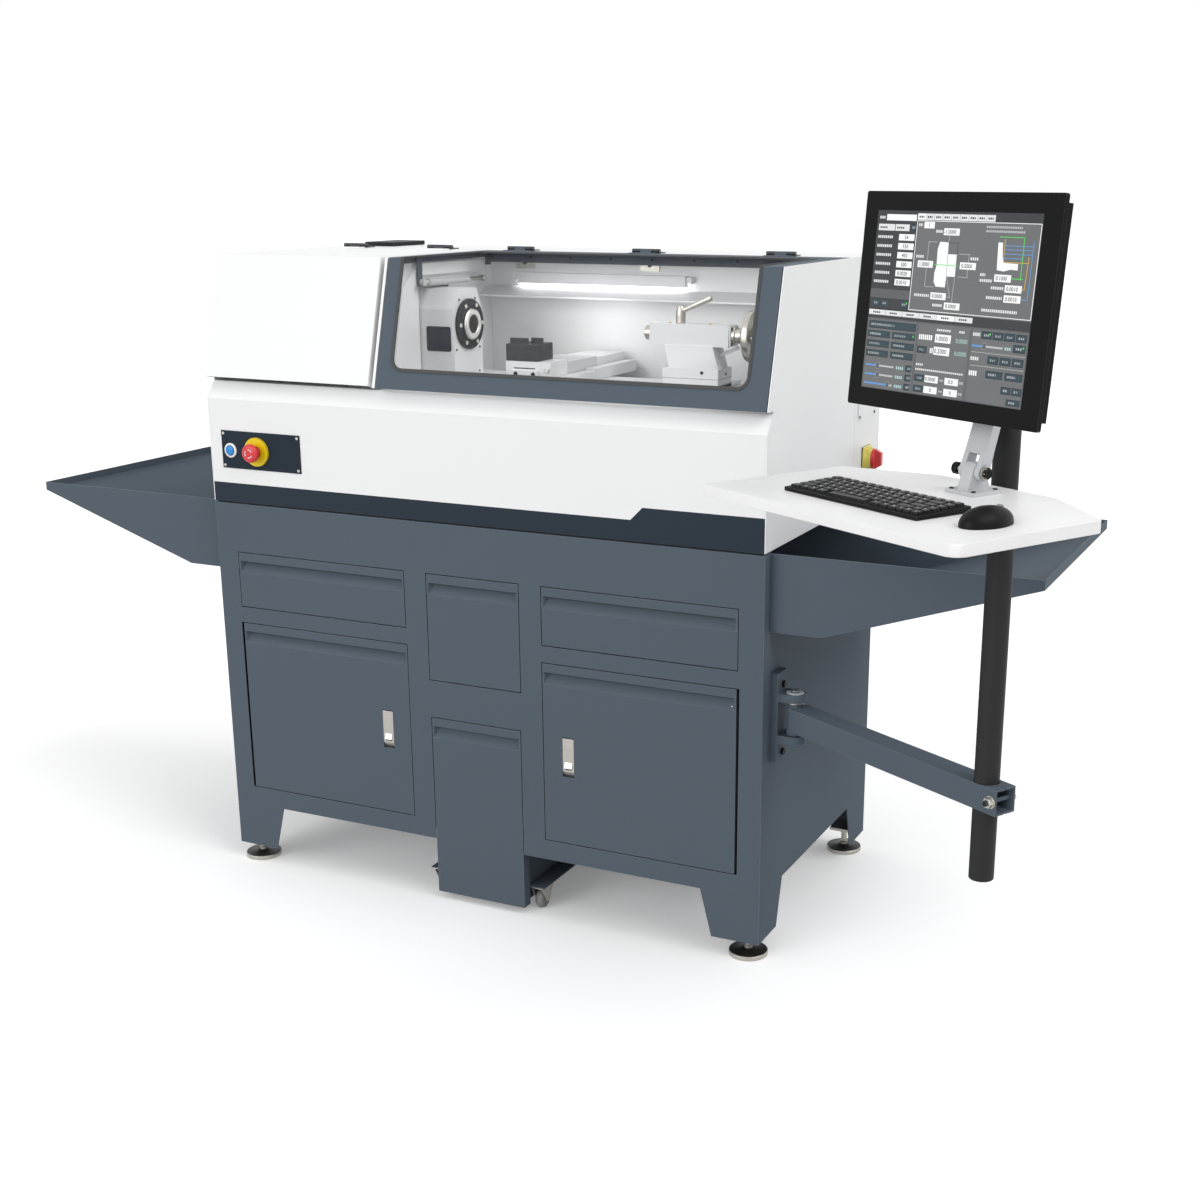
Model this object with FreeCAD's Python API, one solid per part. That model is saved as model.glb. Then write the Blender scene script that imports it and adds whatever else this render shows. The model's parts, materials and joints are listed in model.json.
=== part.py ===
import FreeCAD, Part
import math
import os

# CNC turning lathe on its cabinet stand, with a swing-out operator desk. All sizes in mm.
# Working axes: X runs right from the stand's left edge, Y runs back from the stand's
# front face, Z runs up from the floor. save() moves every piece so that the origin is
# on the floor, under the middle of the front left levelling foot.
#
# The spindle's bore, the feed screw and the desk's post are true cylinders. Other round
# pieces are drawn with flats, which keeps the whole machine's mesh light.

Vec = FreeCAD.Vector
os.makedirs("parts", exist_ok=True)

# ---- driving sizes ---------------------------------------------------------------
SHEET = 2.0                      # cabinet and enclosure sheet
STAND_W = 1250.0
STAND_D = 650.0
STAND_H = 813.0
FLOOR_GAP = 38.0                 # underside of the legs
KICK_H = 136.0                   # top of the cut-outs between the legs
FOOT_IN = 34.0                   # levelling foot's middle, in from both edges

SPINDLE_Y = 232.0
SPINDLE_Z = 1183.0
SPINDLE_BORE_R = 18.5
HEAD_FACE_X = 497.0              # right face of the headstock
BED_TOP = 1079.0

BODY_BOTTOM = 817.0              # enclosure, above its shadow gap
BODY_TOP = 1320.6
BODY_DEPTH = 655.0
SILL_Z = 1072.0                  # lower edge of the covers
COVER_BACK = 442.5               # rear edge of the lift-up covers
LEAN = math.radians(15.4)        # the front of the covers leans back
CABINET_Y = 488.0                # front of the electrical cabinet

HINGE_Y = 444.0
HINGE_Z = 1325.6

ARM_YAW = -30.0                  # swing arm, desk and monitor face this way
ARM_REACH = 495.0
PIN_X, PIN_Y = 1291.0, 63.0
POST_R = 21.2
DESK_TOP = 1013.0


# ---- helpers ---------------------------------------------------------------------
def box(x0, x1, y0, y1, z0, z1):
    return Part.makeBox(x1 - x0, y1 - y0, z1 - z0, Vec(x0, y0, z0))


AXES = {"x": Vec(1, 0, 0), "y": Vec(0, 1, 0), "z": Vec(0, 0, 1)}


def rod(axis, x, y, z, radius, length):
    """True cylinder that starts at x, y, z and runs along the named axis."""
    return Part.makeCylinder(radius, length, Vec(x, y, z), AXES[axis])


def flat_ring(centre, along, across, radius, sides):
    """Corners of a regular polygon round an axis."""
    up = along.cross(across)
    turns = [2 * math.pi * i / sides for i in range(sides)]
    return [centre + across * (radius * math.cos(t)) + up * (radius * math.sin(t)) for t in turns]


def turned(axis, x, y, z, profile, sides=24):
    """Turned piece drawn with flats. The profile lists (distance along the axis, radius)."""
    along = AXES[axis]
    across = AXES[{"x": "y", "y": "z", "z": "x"}[axis]]
    rings = [flat_ring(Vec(x, y, z) + along * distance, along, across, radius, sides)
             for distance, radius in profile]
    faces = [polygon(rings[0]), polygon(rings[-1])]
    for low, high in zip(rings, rings[1:]):
        for i in range(sides):
            j = (i + 1) % sides
            faces.append(polygon([low[i], low[j], high[j], high[i]]))
    solid = Part.Solid(Part.Shell(faces))
    if solid.Volume < 0:
        solid.reverse()
    return solid


def bar(axis, x, y, z, radius, length, sides=12):
    """Plain round bar or hole, drawn with flats."""
    return turned(axis, x, y, z, [(0, radius), (length, radius)], sides)


def between(a, b, radius, sides=12):
    """Bar with flats from one point to another; both lie in a plane along Y or X."""
    a = Vec(*a)
    b = Vec(*b)
    along = (b - a).normalize()
    across = Vec(1, 0, 0) if abs(along.x) < 0.01 else Vec(0, 1, 0)
    across = (across - along * across.dot(along)).normalize()
    ring = flat_ring(a, along, across, radius, sides)
    return polygon(ring).extrude(b - a)


def fuse(first, *rest):
    return first.multiFuse(list(rest)).removeSplitter() if rest else first


def cut(shape, *tools):
    for tool in tools:
        shape = shape.cut(tool)
    return shape


def polygon(points):
    return Part.Face(Part.makePolygon(list(points) + [points[0]]))


def slab_x(yz, x0, x1):
    """Outline in Y and Z, drawn out along X."""
    return polygon([Vec(x0, y, z) for y, z in yz]).extrude(Vec(x1 - x0, 0, 0))


def slab_y(xz, y0, y1):
    return polygon([Vec(x, y0, z) for x, z in xz]).extrude(Vec(0, y1 - y0, 0))


def slab_z(xy, z0, z1):
    return polygon([Vec(x, y, z0) for x, y in xy]).extrude(Vec(0, 0, z1 - z0))


def offset_path(path, distance):
    """The path moved sideways to its left, with mitred corners."""
    moved = []
    for i, (px, py) in enumerate(path):
        normals = []
        for a, b in ((i - 1, i), (i, i + 1)):
            if a >= 0 and b < len(path):
                dx = path[b][0] - path[a][0]
                dy = path[b][1] - path[a][1]
                length = math.hypot(dx, dy)
                normals.append((-dy / length, dx / length))
        nx = sum(n[0] for n in normals) / len(normals)
        ny = sum(n[1] for n in normals) / len(normals)
        scale = distance / (nx * nx + ny * ny)
        moved.append((px + nx * scale, py + ny * scale))
    return moved


def folded(path, thickness):
    """Closed outline of a sheet folded along a path; the sheet lies on its left."""
    return list(path) + offset_path(path, thickness)[::-1]


def mirrored(shape):
    """The same piece on the other side of the stand's middle."""
    return shape.mirror(Vec(STAND_W / 2, 0, 0), Vec(1, 0, 0))


def placed_by_arm(shape):
    """From the arm's own axes (U right, V back, at the post) into the machine's."""
    placed = shape.copy()
    placed.rotate(Vec(0, 0, 0), Vec(0, 0, 1), ARM_YAW)
    placed.translate(Vec(POST_X, POST_Y, 0))
    return placed


POST_X = PIN_X + ARM_REACH * math.cos(math.radians(ARM_YAW))
POST_Y = PIN_Y + ARM_REACH * math.sin(math.radians(ARM_YAW))


def save(name, *solids):
    shape = solids[0] if len(solids) == 1 else Part.makeCompound(list(solids))
    shape = shape.copy()
    shape.translate(Vec(-FOOT_IN, -FOOT_IN, 0))
    shape.exportStep("parts/%s.step" % name)


# ---- stand -----------------------------------------------------------------------
LEG_FRONT = (100.0, 124.5)       # leg width at the bottom and at the cut-out, front view
LEG_SIDE = (96.0, 124.5)
FRONT_T = 18.0                   # thickness of drawer and door fronts
REVEAL = 2.0                     # gap round a front

TRAY_Y0, TRAY_Y1 = 27.0, 598.0
TRAY_FLOOR = 664.0
TRAY_TIP = 795.0
TRAY_WING = 501.0                # reach beyond each side of the stand
TRAY_FLAT = 101.0

LEFT_DRAWER = (52.0, 466.0, 590.5, 707.5)
CENTRE_DRAWER = (520.5, 732.0, 486.0, 707.5)
LEFT_DOOR = (53.0, 467.0, 179.5, 553.0)
TANK_FRONT = (521.0, 729.5, 16.0, 403.5)
RIGHT_DRAWER = (STAND_W - 466.0, STAND_W - 52.0, 590.5, 707.5)
HINGE_GAP = 6.0                  # wider gap beside a door's hinges


def leg_outline(width, leg, top):
    """Outline of a panel with two tapered legs."""
    near, wide = leg
    return [(0, FLOOR_GAP), (near, FLOOR_GAP), (wide, KICK_H), (width - wide, KICK_H),
            (width - near, FLOOR_GAP), (width, FLOOR_GAP), (width, top), (0, top)]


def hole(front, left=REVEAL, right=REVEAL):
    x0, x1, z0, z1 = front
    return box(x0 - left, x1 + right, -5, 20, z0 - REVEAL, z1 + REVEAL)


def stand_front():
    face = slab_y(leg_outline(STAND_W, LEG_FRONT, STAND_H), 0, SHEET)
    left_hole = hole(LEFT_DOOR, left=HINGE_GAP)
    face = cut(face, hole(LEFT_DRAWER), hole(CENTRE_DRAWER), hole(RIGHT_DRAWER),
               left_hole, mirrored(left_hole), hole(TANK_FRONT))
    rim = box(SHEET, STAND_W - SHEET, SHEET, TRAY_Y0 - 2, STAND_H - SHEET, STAND_H)
    tabs = []
    for z in (LEFT_DOOR[2] - REVEAL - SHEET, LEFT_DOOR[3] + REVEAL):
        tab = box(LEFT_DOOR[0] - 10, LEFT_DOOR[0] + 14, SHEET, FRONT_T, z, z + SHEET)
        tab = cut(tab, bar("z", PIVOT_X, PIVOT_Y, z - 1, PIVOT_R + 0.6, SHEET + 2, 8))
        tabs += [tab, mirrored(tab)]
    return fuse(face, rim, *tabs)


def stand_side():
    y0, y1 = SHEET, STAND_D - SHEET
    outline = [(y0, FLOOR_GAP), (LEG_SIDE[0], FLOOR_GAP), (LEG_SIDE[1], KICK_H),
               (STAND_D - LEG_SIDE[1], KICK_H), (STAND_D - LEG_SIDE[0], FLOOR_GAP),
               (y1, FLOOR_GAP), (y1, STAND_H), (TRAY_Y1 + 1, STAND_H),
               (TRAY_Y1 + 1, TRAY_FLOOR), (TRAY_Y0 - 1, TRAY_FLOOR),
               (TRAY_Y0 - 1, STAND_H), (y0, STAND_H)]
    return slab_x(outline, 0, SHEET)


BAY_X = 492.0                    # partition between side bay and centre bay
BAY_FLOOR = 140.0
DRAWER_SHELF = 588.5             # level with the lower edge of the drawer's opening
CENTRE_SHELF = 484.0


def stand_back():
    panel = slab_y(leg_outline(STAND_W, LEG_FRONT, STAND_H), STAND_D - SHEET, STAND_D)
    return fuse(panel, box(SHEET, STAND_W - SHEET, TRAY_Y1 + 2, STAND_D - SHEET, STAND_H - SHEET, STAND_H))


def bay_liners():
    """Floors, shelves and partitions of the bays, with a beam under the tray on each side."""
    y0, y1 = SHEET, STAND_D - SHEET
    side = [box(BAY_X, BAY_X + SHEET, y0, y1, BAY_FLOOR, TRAY_FLOOR),
            box(SHEET, BAY_X, FRONT_T + 2, y1, BAY_FLOOR, BAY_FLOOR + SHEET),
            box(SHEET, BAY_X, FRONT_T + 2, y1, DRAWER_SHELF - SHEET, DRAWER_SHELF),
            box(BAY_X - 26, BAY_X, FRONT_T + 2, y1, TRAY_FLOOR - 50, TRAY_FLOOR)]
    centre = box(BAY_X + SHEET, STAND_W - BAY_X - SHEET, FRONT_T + 2, y1,
                 CENTRE_SHELF - SHEET, CENTRE_SHELF)
    return side + [mirrored(s) for s in side] + [centre]


def levelling_foot(x, y):
    pad = turned("z", x, y, 0, [(0, 40), (6, 40), (10, 30)], 14)
    stem = bar("z", x, y, 10, 6.5, 42, 6)
    plate = box(x - 32, x + 26, y - 32, y + 26, 52, 58)
    if x > STAND_W / 2:
        plate.translate(Vec(6, 0, 0))
    if y > STAND_D / 2:
        plate.translate(Vec(0, 6, 0))
    nut = bar("z", x, y, 44, 11, 8, 6)
    return fuse(pad, stem, nut, plate)


def chip_tray():
    """One trough right through the stand, with a wing out to each side."""
    half = [(-TRAY_WING, STAND_H), (-TRAY_WING, TRAY_TIP), (-TRAY_FLAT, TRAY_FLOOR)]
    other = [(STAND_W - x, z) for x, z in reversed(half)]
    outer = slab_y(half + other, TRAY_Y0, TRAY_Y1)
    inner_path = offset_path(half + other, SHEET)
    inner_path[0] = (inner_path[0][0], STAND_H + 5)
    inner_path[-1] = (inner_path[-1][0], STAND_H + 5)
    inner = slab_y(inner_path, TRAY_Y0 + SHEET, TRAY_Y1 - SHEET)
    return cut(outer, inner)


# ---- fronts, drawers and doors ---------------------------------------------------
LIP_H = 17.5                     # strip above the finger pull
PULL_H = 25.0
PULL_D = 14.0
END_W = 12.0                     # slanted ends of the pull

PIVOT_X = LEFT_DOOR[0] + 4.0
PIVOT_Y = FRONT_T / 2
PIVOT_R = 3.0
LATCH = (398.5, 425.5, 321.0, 405.0)
LATCH_PIN_Y, LATCH_PIN_Z, LATCH_PIN_R = 4.0, 401.0, 1.5


def front_with_pull(x0, x1, z0, z1):
    """A thick folded front whose top carries a full-width finger pull."""
    pull_top = z1 - LIP_H
    pull = [(-1, pull_top), (PULL_D, pull_top), (PULL_D, pull_top - 4),
            (0, pull_top - PULL_H), (-1, pull_top - PULL_H)]
    recess = slab_x(pull, x0 + 2, x1 - 2)
    for x, way in ((x0 + 2, 1), (x1 - 2, -1)):
        wedge = slab_z([(x, -1), (x + way * END_W, PULL_D + 1), (x, PULL_D + 1)],
                       pull_top - PULL_H - 1, pull_top + 1)
        recess = cut(recess, wedge)
    return cut(box(x0, x1, 0, FRONT_T, z0, z1), recess)


def drawer(front, shelf, depth, tray_top):
    x0, x1, z0, z1 = front
    bx0, bx1 = x0 + 8, x1 - 8
    by0, by1 = FRONT_T, FRONT_T + depth
    bz0 = shelf + 0.5
    tub = box(bx0, bx1, by0, by1, bz0, tray_top)
    tub = cut(tub, box(bx0 + SHEET, bx1 - SHEET, by0, by1 - SHEET, bz0 + SHEET, tray_top + 1))
    return fuse(front_with_pull(*front), tub)


def left_door():
    x0, x1, z0, z1 = LEFT_DOOR
    lx0, lx1, lz0, lz1 = LATCH
    door = front_with_pull(*LEFT_DOOR)
    door = cut(door, box(lx0, lx1, -1, 12, lz0, lz1))
    pins = [bar("z", PIVOT_X, PIVOT_Y, z, PIVOT_R, 4, 8) for z in (z0 - 4, z1)]
    return fuse(door, *pins)


def left_latch():
    """Paddle flush with the door; it swings out on a pin behind its top edge."""
    x0, x1, z0, z1 = LATCH
    pin = bar("x", x0 + 0.2, LATCH_PIN_Y, LATCH_PIN_Z, LATCH_PIN_R, x1 - x0 - 0.4, 8)
    x0, x1, z0, z1 = x0 + 1, x1 - 1, z0 + 1, z1 - 2
    section = [(0, z1), (0, z0 + 12), (6, z0), (8, z0), (2, z0 + 12), (2, z1 - 6), (8, z1 - 6), (8, z1)]
    return fuse(slab_x(section, x0, x1), pin)


# ---- coolant tank ----------------------------------------------------------------
TANK_X0, TANK_X1 = 530.0, 720.5
TANK_Y1 = 590.0
TANK_TOP = 380.0
FLANGE_Z = 56.0
FLANGE_W = 42.5
CASTER_Y = (52.0, 560.0)
WHEEL_R = 21.0


def coolant_tank():
    x0, x1, z0, z1 = TANK_FRONT
    sides = [box(x0, x0 + SHEET, FRONT_T, 25, z0, z1), box(x1 - SHEET, x1, FRONT_T, 25, z0, z1)]
    tub = box(TANK_X0, TANK_X1, FRONT_T, TANK_Y1, 20, TANK_TOP)
    tub = cut(tub, box(TANK_X0 + SHEET, TANK_X1 - SHEET, FRONT_T + SHEET, TANK_Y1 - SHEET,
                       22, TANK_TOP + 1))
    flanges = [box(TANK_X0 - FLANGE_W, TANK_X0, 25, TANK_Y1, FLANGE_Z - SHEET, FLANGE_Z),
               box(TANK_X1, TANK_X1 + FLANGE_W, 25, TANK_Y1, FLANGE_Z - SHEET, FLANGE_Z)]
    return fuse(front_with_pull(*TANK_FRONT), tub, *(sides + flanges))


def coolant_pump():
    middle = (TANK_X0 + TANK_X1) / 2
    plate = box(TANK_X0, TANK_X1, 470, TANK_Y1, TANK_TOP, TANK_TOP + 4)
    motor = turned("z", middle, 530, TANK_TOP + 4, [(0, 38), (62, 38), (70, 32)], 14)
    spout = bar("x", middle + 20, 530, TANK_TOP + 20, 9, 55, 8)
    column = bar("z", middle, 530, 60, 20, TANK_TOP - 60)
    return fuse(plate, motor, spout, column)


def caster(x, y):
    """Rigid caster: a V-shaped steel fork with a rounded wheel between its arms."""
    axle_z = WHEEL_R + 0.5
    top = FLANGE_Z - SHEET
    head = box(x - 13, x + 13, y - 27, y + 27, top - 2, top)
    arm = [(y - 27, top), (y + 27, top), (y + 5, axle_z - 5), (y - 5, axle_z - 5)]
    arms = [slab_x(arm, x - 13, x - 11), slab_x(arm, x + 11, x + 13)]
    tread = [(0, WHEEL_R - 4), (4, WHEEL_R), (16, WHEEL_R), (20, WHEEL_R - 4)]
    wheel = turned("x", x - 10, y, axle_z, tread, 12)
    axle = bar("x", x - 11, y, axle_z, 3.5, 22, 6)
    return fuse(head, wheel, axle, *arms)


def casters():
    xs = (TANK_X0 - FLANGE_W + 19, TANK_X1 + FLANGE_W - 19)
    return [caster(x, y) for x in xs for y in CASTER_Y]


# ---- enclosure -------------------------------------------------------------------
CREASE_Z = 1032.0
SILL_TOP = 1066.0
PLATE = (31.0, 230.0, 888.5, 967.0)
ESTOP_X, ESTOP_Z = 120.7, 926.7
RESET_X, RESET_Z = 54.0, 926.0
SWITCH_Y, SWITCH_Z = 567.0, 907.5


def lean_y(z):
    """Front face of the covers at this height."""
    return (z - SILL_Z) * math.tan(LEAN)


SHOULDER_Y = lean_y(BODY_TOP)


def button_holes():
    """Clearance holes for the two push buttons."""
    return [bar("y", ESTOP_X, -10, ESTOP_Z, 11.8, 25), bar("y", RESET_X, -10, RESET_Z, 8.7, 25)]


def front_panel():
    path = [(40, STAND_H), (8, STAND_H), (8, BODY_BOTTOM), (0, BODY_BOTTOM), (0, CREASE_Z),
            (26, SILL_TOP), (60, SILL_TOP), (60, 1010)]
    sheet = slab_x(folded(path[::-1], SHEET), SHEET, STAND_W - SHEET)
    return cut(sheet, *button_holes())


def side_outline(inset):
    return [(0, BODY_BOTTOM), (0, CREASE_Z), (26, SILL_TOP), (26, SILL_Z), (inset, SILL_Z),
            (SHOULDER_Y + inset, BODY_TOP - inset), (CABINET_Y, BODY_TOP - inset), (CABINET_Y, BODY_BOTTOM)]


def side_panels():
    left = slab_x(side_outline(16), 0, SHEET)
    right = slab_x(side_outline(0), STAND_W - SHEET, STAND_W)
    return [left, right]


def rear_cabinet():
    """Electrical cabinet behind the work area, with the fixed strip of roof on it."""
    shell = box(0, STAND_W, CABINET_Y, BODY_DEPTH, BODY_BOTTOM, BODY_TOP)
    shell = cut(shell, box(SHEET, STAND_W - SHEET, CABINET_Y + SHEET, BODY_DEPTH - SHEET,
                           BODY_BOTTOM + SHEET, BODY_TOP - SHEET))
    strip = box(SHEET, STAND_W - SHEET, COVER_BACK + 3, CABINET_Y, BODY_TOP - SHEET, BODY_TOP)
    foot = box(20, STAND_W - 20, TRAY_Y1 + 2, STAND_D, STAND_H, BODY_BOTTOM)
    hatch = box(STAND_W, STAND_W + 1.2, 508, 624, 993, 1112)
    roof_box = box(40, 180, 520, 600, BODY_TOP, BODY_TOP + 8)
    return fuse(shell, strip, foot, hatch, roof_box)


DIVIDER_X = 416.0
JAMB_BACK = 408.0                # clear of the window cover's rear flange as it swings


def divider():
    """Wall between headstock compartment and work area, with its jamb and edge flange."""
    wall = [(64, BODY_BOTTOM + 2), (64, 1069), (lean_y(SILL_Z) + 3, 1073), (SHOULDER_Y + 3, BODY_TOP - SHEET),
            (COVER_BACK - 4, BODY_TOP - SHEET), (COVER_BACK - 4, 1290), (463, 1290), (463, BODY_BOTTOM + 2)]
    plate = slab_x(wall, DIVIDER_X, DIVIDER_X + SHEET)
    plate = cut(plate, box(DIVIDER_X - 5, DIVIDER_X + 10, 172, 289, 900, 1257),
                box(DIVIDER_X - 5, DIVIDER_X + 10, 147, 333, 900, BED_TOP + 3))
    edge = [(lean_y(1073), 1073), (SHOULDER_Y, BODY_TOP), (COVER_BACK, BODY_TOP)]
    flange = slab_x(folded(edge[::-1], 3), DIVIDER_X - 4, DIVIDER_X + SHEET)
    jamb = slab_x([(57, 1075), (107, 1259), (167, 1304), (JAMB_BACK, 1304), (JAMB_BACK, 1280),
                   (179, 1280), (127, 1240), (82, 1075)], DIVIDER_X + SHEET, DIVIDER_X + 8)
    stud = bar("x", DIVIDER_X, *STRUT_FIXED, STUD_R, STRUT_X + 5 - DIVIDER_X)
    return fuse(plate, flange, jamb, stud)


def back_splash():
    path = [(463, 830), (463, 1226), (408, 1226), (408, 1230), (438, 1246), (463, 1246), (463, 1312)]
    return slab_x(folded(path[::-1], SHEET), DIVIDER_X + SHEET, STAND_W - SHEET)


def light_bar():
    channel = box(498, 892, 440, 458, 1253, 1276)
    ends = [box(486, 498, 444, 463, 1262, 1274), box(892, 904, 444, 463, 1262, 1274)]
    return fuse(channel, *ends)


HINGES = (82.0, 302.0, 505.0, 802.0, 1100.0)
HINGE_W = 62.0
KNUCKLE_W = 24.0                 # middle knuckle, on the lid
KNUCKLE_R = 4.6
HINGE_PIN_R = 2.0


def roof_hinges():
    """Fixed halves of the lid hinges with their pins, and backing plates on the splash wall."""
    pieces = []
    for x in HINGES:
        x0, x1 = x - HINGE_W / 2, x + HINGE_W / 2
        pin = bar("x", x - KNUCKLE_W / 2 - 1, HINGE_Y, HINGE_Z, HINGE_PIN_R, KNUCKLE_W + 2, 6)
        leaf = box(x0, x1, HINGE_Y + 5.5, HINGE_Y + 28, BODY_TOP, BODY_TOP + 2.5)
        knuckles = []
        for a, b in ((x0, x - KNUCKLE_W / 2 - 0.3), (x + KNUCKLE_W / 2 + 0.3, x1)):
            knuckles += [bar("x", a, HINGE_Y, HINGE_Z, KNUCKLE_R, b - a, 8),
                         box(a, b, HINGE_Y + 1.5, HINGE_Y + 6, BODY_TOP, BODY_TOP + 4)]
        pieces.append(fuse(leaf, pin, *knuckles))
    for x in HINGES[2:4]:
        pieces.append(box(x - 22, x + 22, 460, 463, 1283, 1310))
    return pieces


def lid_leaves(xs):
    """Moving halves of the lid hinges."""
    pieces = []
    for x in xs:
        a, b = x - KNUCKLE_W / 2, x + KNUCKLE_W / 2
        leaf = box(x - 28, x + 28, HINGE_Y - 30, HINGE_Y - 6, BODY_TOP, BODY_TOP + SHEET)
        web = box(a, b, HINGE_Y - 7, HINGE_Y, BODY_TOP, BODY_TOP + 4)
        knuckle = cut(fuse(bar("x", a, HINGE_Y, HINGE_Z, KNUCKLE_R, KNUCKLE_W, 8), web),
                      bar("x", a - 1, HINGE_Y, HINGE_Z, HINGE_PIN_R + 0.6, KNUCKLE_W + 2, 6))
        pieces += [leaf, knuckle]
    return pieces


def control_plate():
    x0, x1, z0, z1 = PLATE
    plate = box(x0, x1, -1.5, 0, z0, z1)
    ring = bar("y", ESTOP_X, -6, ESTOP_Z, 30, 5, 28)
    bezel = bar("y", RESET_X, -5, RESET_Z, 13.5, 4, 16)
    return cut(fuse(plate, ring, bezel), *button_holes())


def estop_button():
    """Mushroom head on its stem."""
    stem = bar("y", ESTOP_X, -20, ESTOP_Z, 11, 40)
    head = turned("y", ESTOP_X, -30, ESTOP_Z, [(0, 14), (1.5, 17.5), (8, 19.5), (12, 15)], 20)
    return fuse(stem, head)


def reset_button():
    return turned("y", RESET_X, -8, RESET_Z, [(0, 7.3), (0.8, 8.1), (26, 8.1)], 12)


def switch_body():
    plate = box(STAND_W, STAND_W + 4, SWITCH_Y - 26, SWITCH_Y + 26, SWITCH_Z - 26, SWITCH_Z + 26)
    drum = turned("x", STAND_W + 4, SWITCH_Y, SWITCH_Z, [(0, 25), (13, 22)], 18)
    return cut(fuse(plate, drum), bar("x", STAND_W + 6, SWITCH_Y, SWITCH_Z, 4.5, 20))


def switch_knob():
    x = STAND_W + 17.3
    shaft = bar("x", x - 9, SWITCH_Y, SWITCH_Z, 4, 10)
    disc = bar("x", x, SWITCH_Y, SWITCH_Z, 21, 6, 18)
    grip = slab_y([(x + 6, SWITCH_Z - 20), (x + 6, SWITCH_Z + 20), (x + 19, SWITCH_Z + 13),
                   (x + 19, SWITCH_Z - 13)], SWITCH_Y - 6, SWITCH_Y + 6)
    return fuse(disc, grip, shaft)


# ---- lift-up covers --------------------------------------------------------------
COVER_T = 2.0
RETURN = 14.0                    # depth of the flange folded in round a cover
PANE_T = 4.0
WINDOW = (450.0, 1209.0, 1107.0, 356.0)   # left, right, lower edge, rear edge on top
SEAL_W = 6.0


def cover_path(bottom):
    """Outside of a cover, from its lower edge, over the shoulder, to its rear edge."""
    return [(lean_y(bottom), bottom), (SHOULDER_Y, BODY_TOP), (COVER_BACK, BODY_TOP)]


def cover_sheet(x0, x1, bottom, rear_drop):
    low, shoulder, rear = cover_path(bottom)
    path = [(low[0] + RETURN, bottom), low, shoulder, rear, (rear[0], rear[1] - rear_drop)]
    sheet = slab_x(folded(path[::-1], COVER_T), x0, x1)
    band = folded([rear, shoulder, low], RETURN)
    return fuse(sheet, slab_x(band, x0, x0 + COVER_T), slab_x(band, x1 - COVER_T, x1))


def headstock_cover():
    sheet = cover_sheet(0.5, 402.0, 1076.0, 13)
    return fuse(sheet, *lid_leaves(HINGES[:2]))


def window_cutter(margin):
    """Opening in both planes of the window cover, with rounded lower corners."""
    x0, x1, z0, y1 = WINDOW
    x0, x1, z0, y1 = x0 + margin, x1 - margin, z0 + margin, y1 - margin
    radius = 25.0 - margin
    front = box(x0, x1, -30, 100, z0 + radius, BODY_TOP + 10)
    low = box(x0 + radius, x1 - radius, -30, 100, z0, z0 + radius + 1)
    corners = [bar("y", x, -30, z0 + radius, radius, 130, 20) for x in (x0 + radius, x1 - radius)]
    top = box(x0, x1, 60, y1, BODY_TOP - 20, BODY_TOP + 10)
    return fuse(front, low, top, *corners)


def window_frame():
    """Lid frame with its hinge leaves and the tab that the gas strut pushes."""
    sheet = cover_sheet(421.0, 1246.0, SILL_Z + 0.5, 24)
    y, z = STRUT_LID
    tab = box(426, 428.5, y - 9, y + 9, z - 9, BODY_TOP - 1)
    return fuse(cut(sheet, window_cutter(0)), tab, *lid_leaves(HINGES[2:]))


def window_pane():
    low, shoulder, rear = cover_path(WINDOW[2] - 16)
    path = offset_path([(WINDOW[3] + 14, BODY_TOP), shoulder, low], COVER_T)
    return slab_x(folded(path, PANE_T), WINDOW[0] - 14, WINDOW[1] + 14)


def window_seal():
    """Rubber edging pressed onto the opening's edge, standing 1.5 mm proud."""
    low, shoulder, rear = cover_path(WINDOW[2] - 8)
    path = offset_path([(WINDOW[3] + 8, BODY_TOP), shoulder, low], -1.5)
    band = slab_x(folded(path, COVER_T + 1.5), WINDOW[0] - 8, WINDOW[1] + 8)
    return cut(band.common(window_cutter(0)), window_cutter(SEAL_W))


STRUT_X = 435.0
STRUT_FIXED = (398.0, 1265.0)    # stud on the divider
STRUT_LID = (165.0, 1268.0)      # stud on the window cover
STRUT_R = 7.0
STUD_R = 3.0


def along_strut(distance):
    """Point on the strut's axis, measured from the fixed stud."""
    dy = STRUT_LID[0] - STRUT_FIXED[0]
    dz = STRUT_LID[1] - STRUT_FIXED[1]
    length = math.hypot(dy, dz)
    return (STRUT_X, STRUT_FIXED[0] + dy * distance / length, STRUT_FIXED[1] + dz * distance / length)


def strut_eye(place):
    return bar("x", STRUT_X - 5, place[0], place[1], 6.5, 10)


def strut_rod():
    """Rod end on the divider's stud; the rod runs inside the tube."""
    stem = between(along_strut(4), along_strut(190), 3.4, 8)
    eye = fuse(stem, strut_eye(STRUT_FIXED))
    return cut(eye, bar("x", STRUT_X - 6, *STRUT_FIXED, STUD_R + 0.4, 12))


def strut_tube():
    tube = cut(between(along_strut(62), along_strut(215), STRUT_R),
               between(along_strut(60), along_strut(205), 4.2, 8))
    length = math.dist(STRUT_FIXED, STRUT_LID)
    return fuse(tube, between(along_strut(214), along_strut(length), 4), strut_eye(STRUT_LID))


# ---- lathe -----------------------------------------------------------------------
HEAD_X0 = 248.0
BED_Y0, BED_Y1 = 150.0, 330.0
CHANNEL = (200.0, 270.0, 1030.0)     # slot in the bed: y0, y1, floor
SCREW_Y, SCREW_Z, SCREW_R = 235.0, 1055.0, 8.0
SPINDLE_R = 30.5
MOTOR_Z = 920.0
PULLEY_R = 45.0
MOTOR_PULLEY_R = 27.0
PULLEY_X = 196.0
PULLEY_W = 28.0


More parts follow.
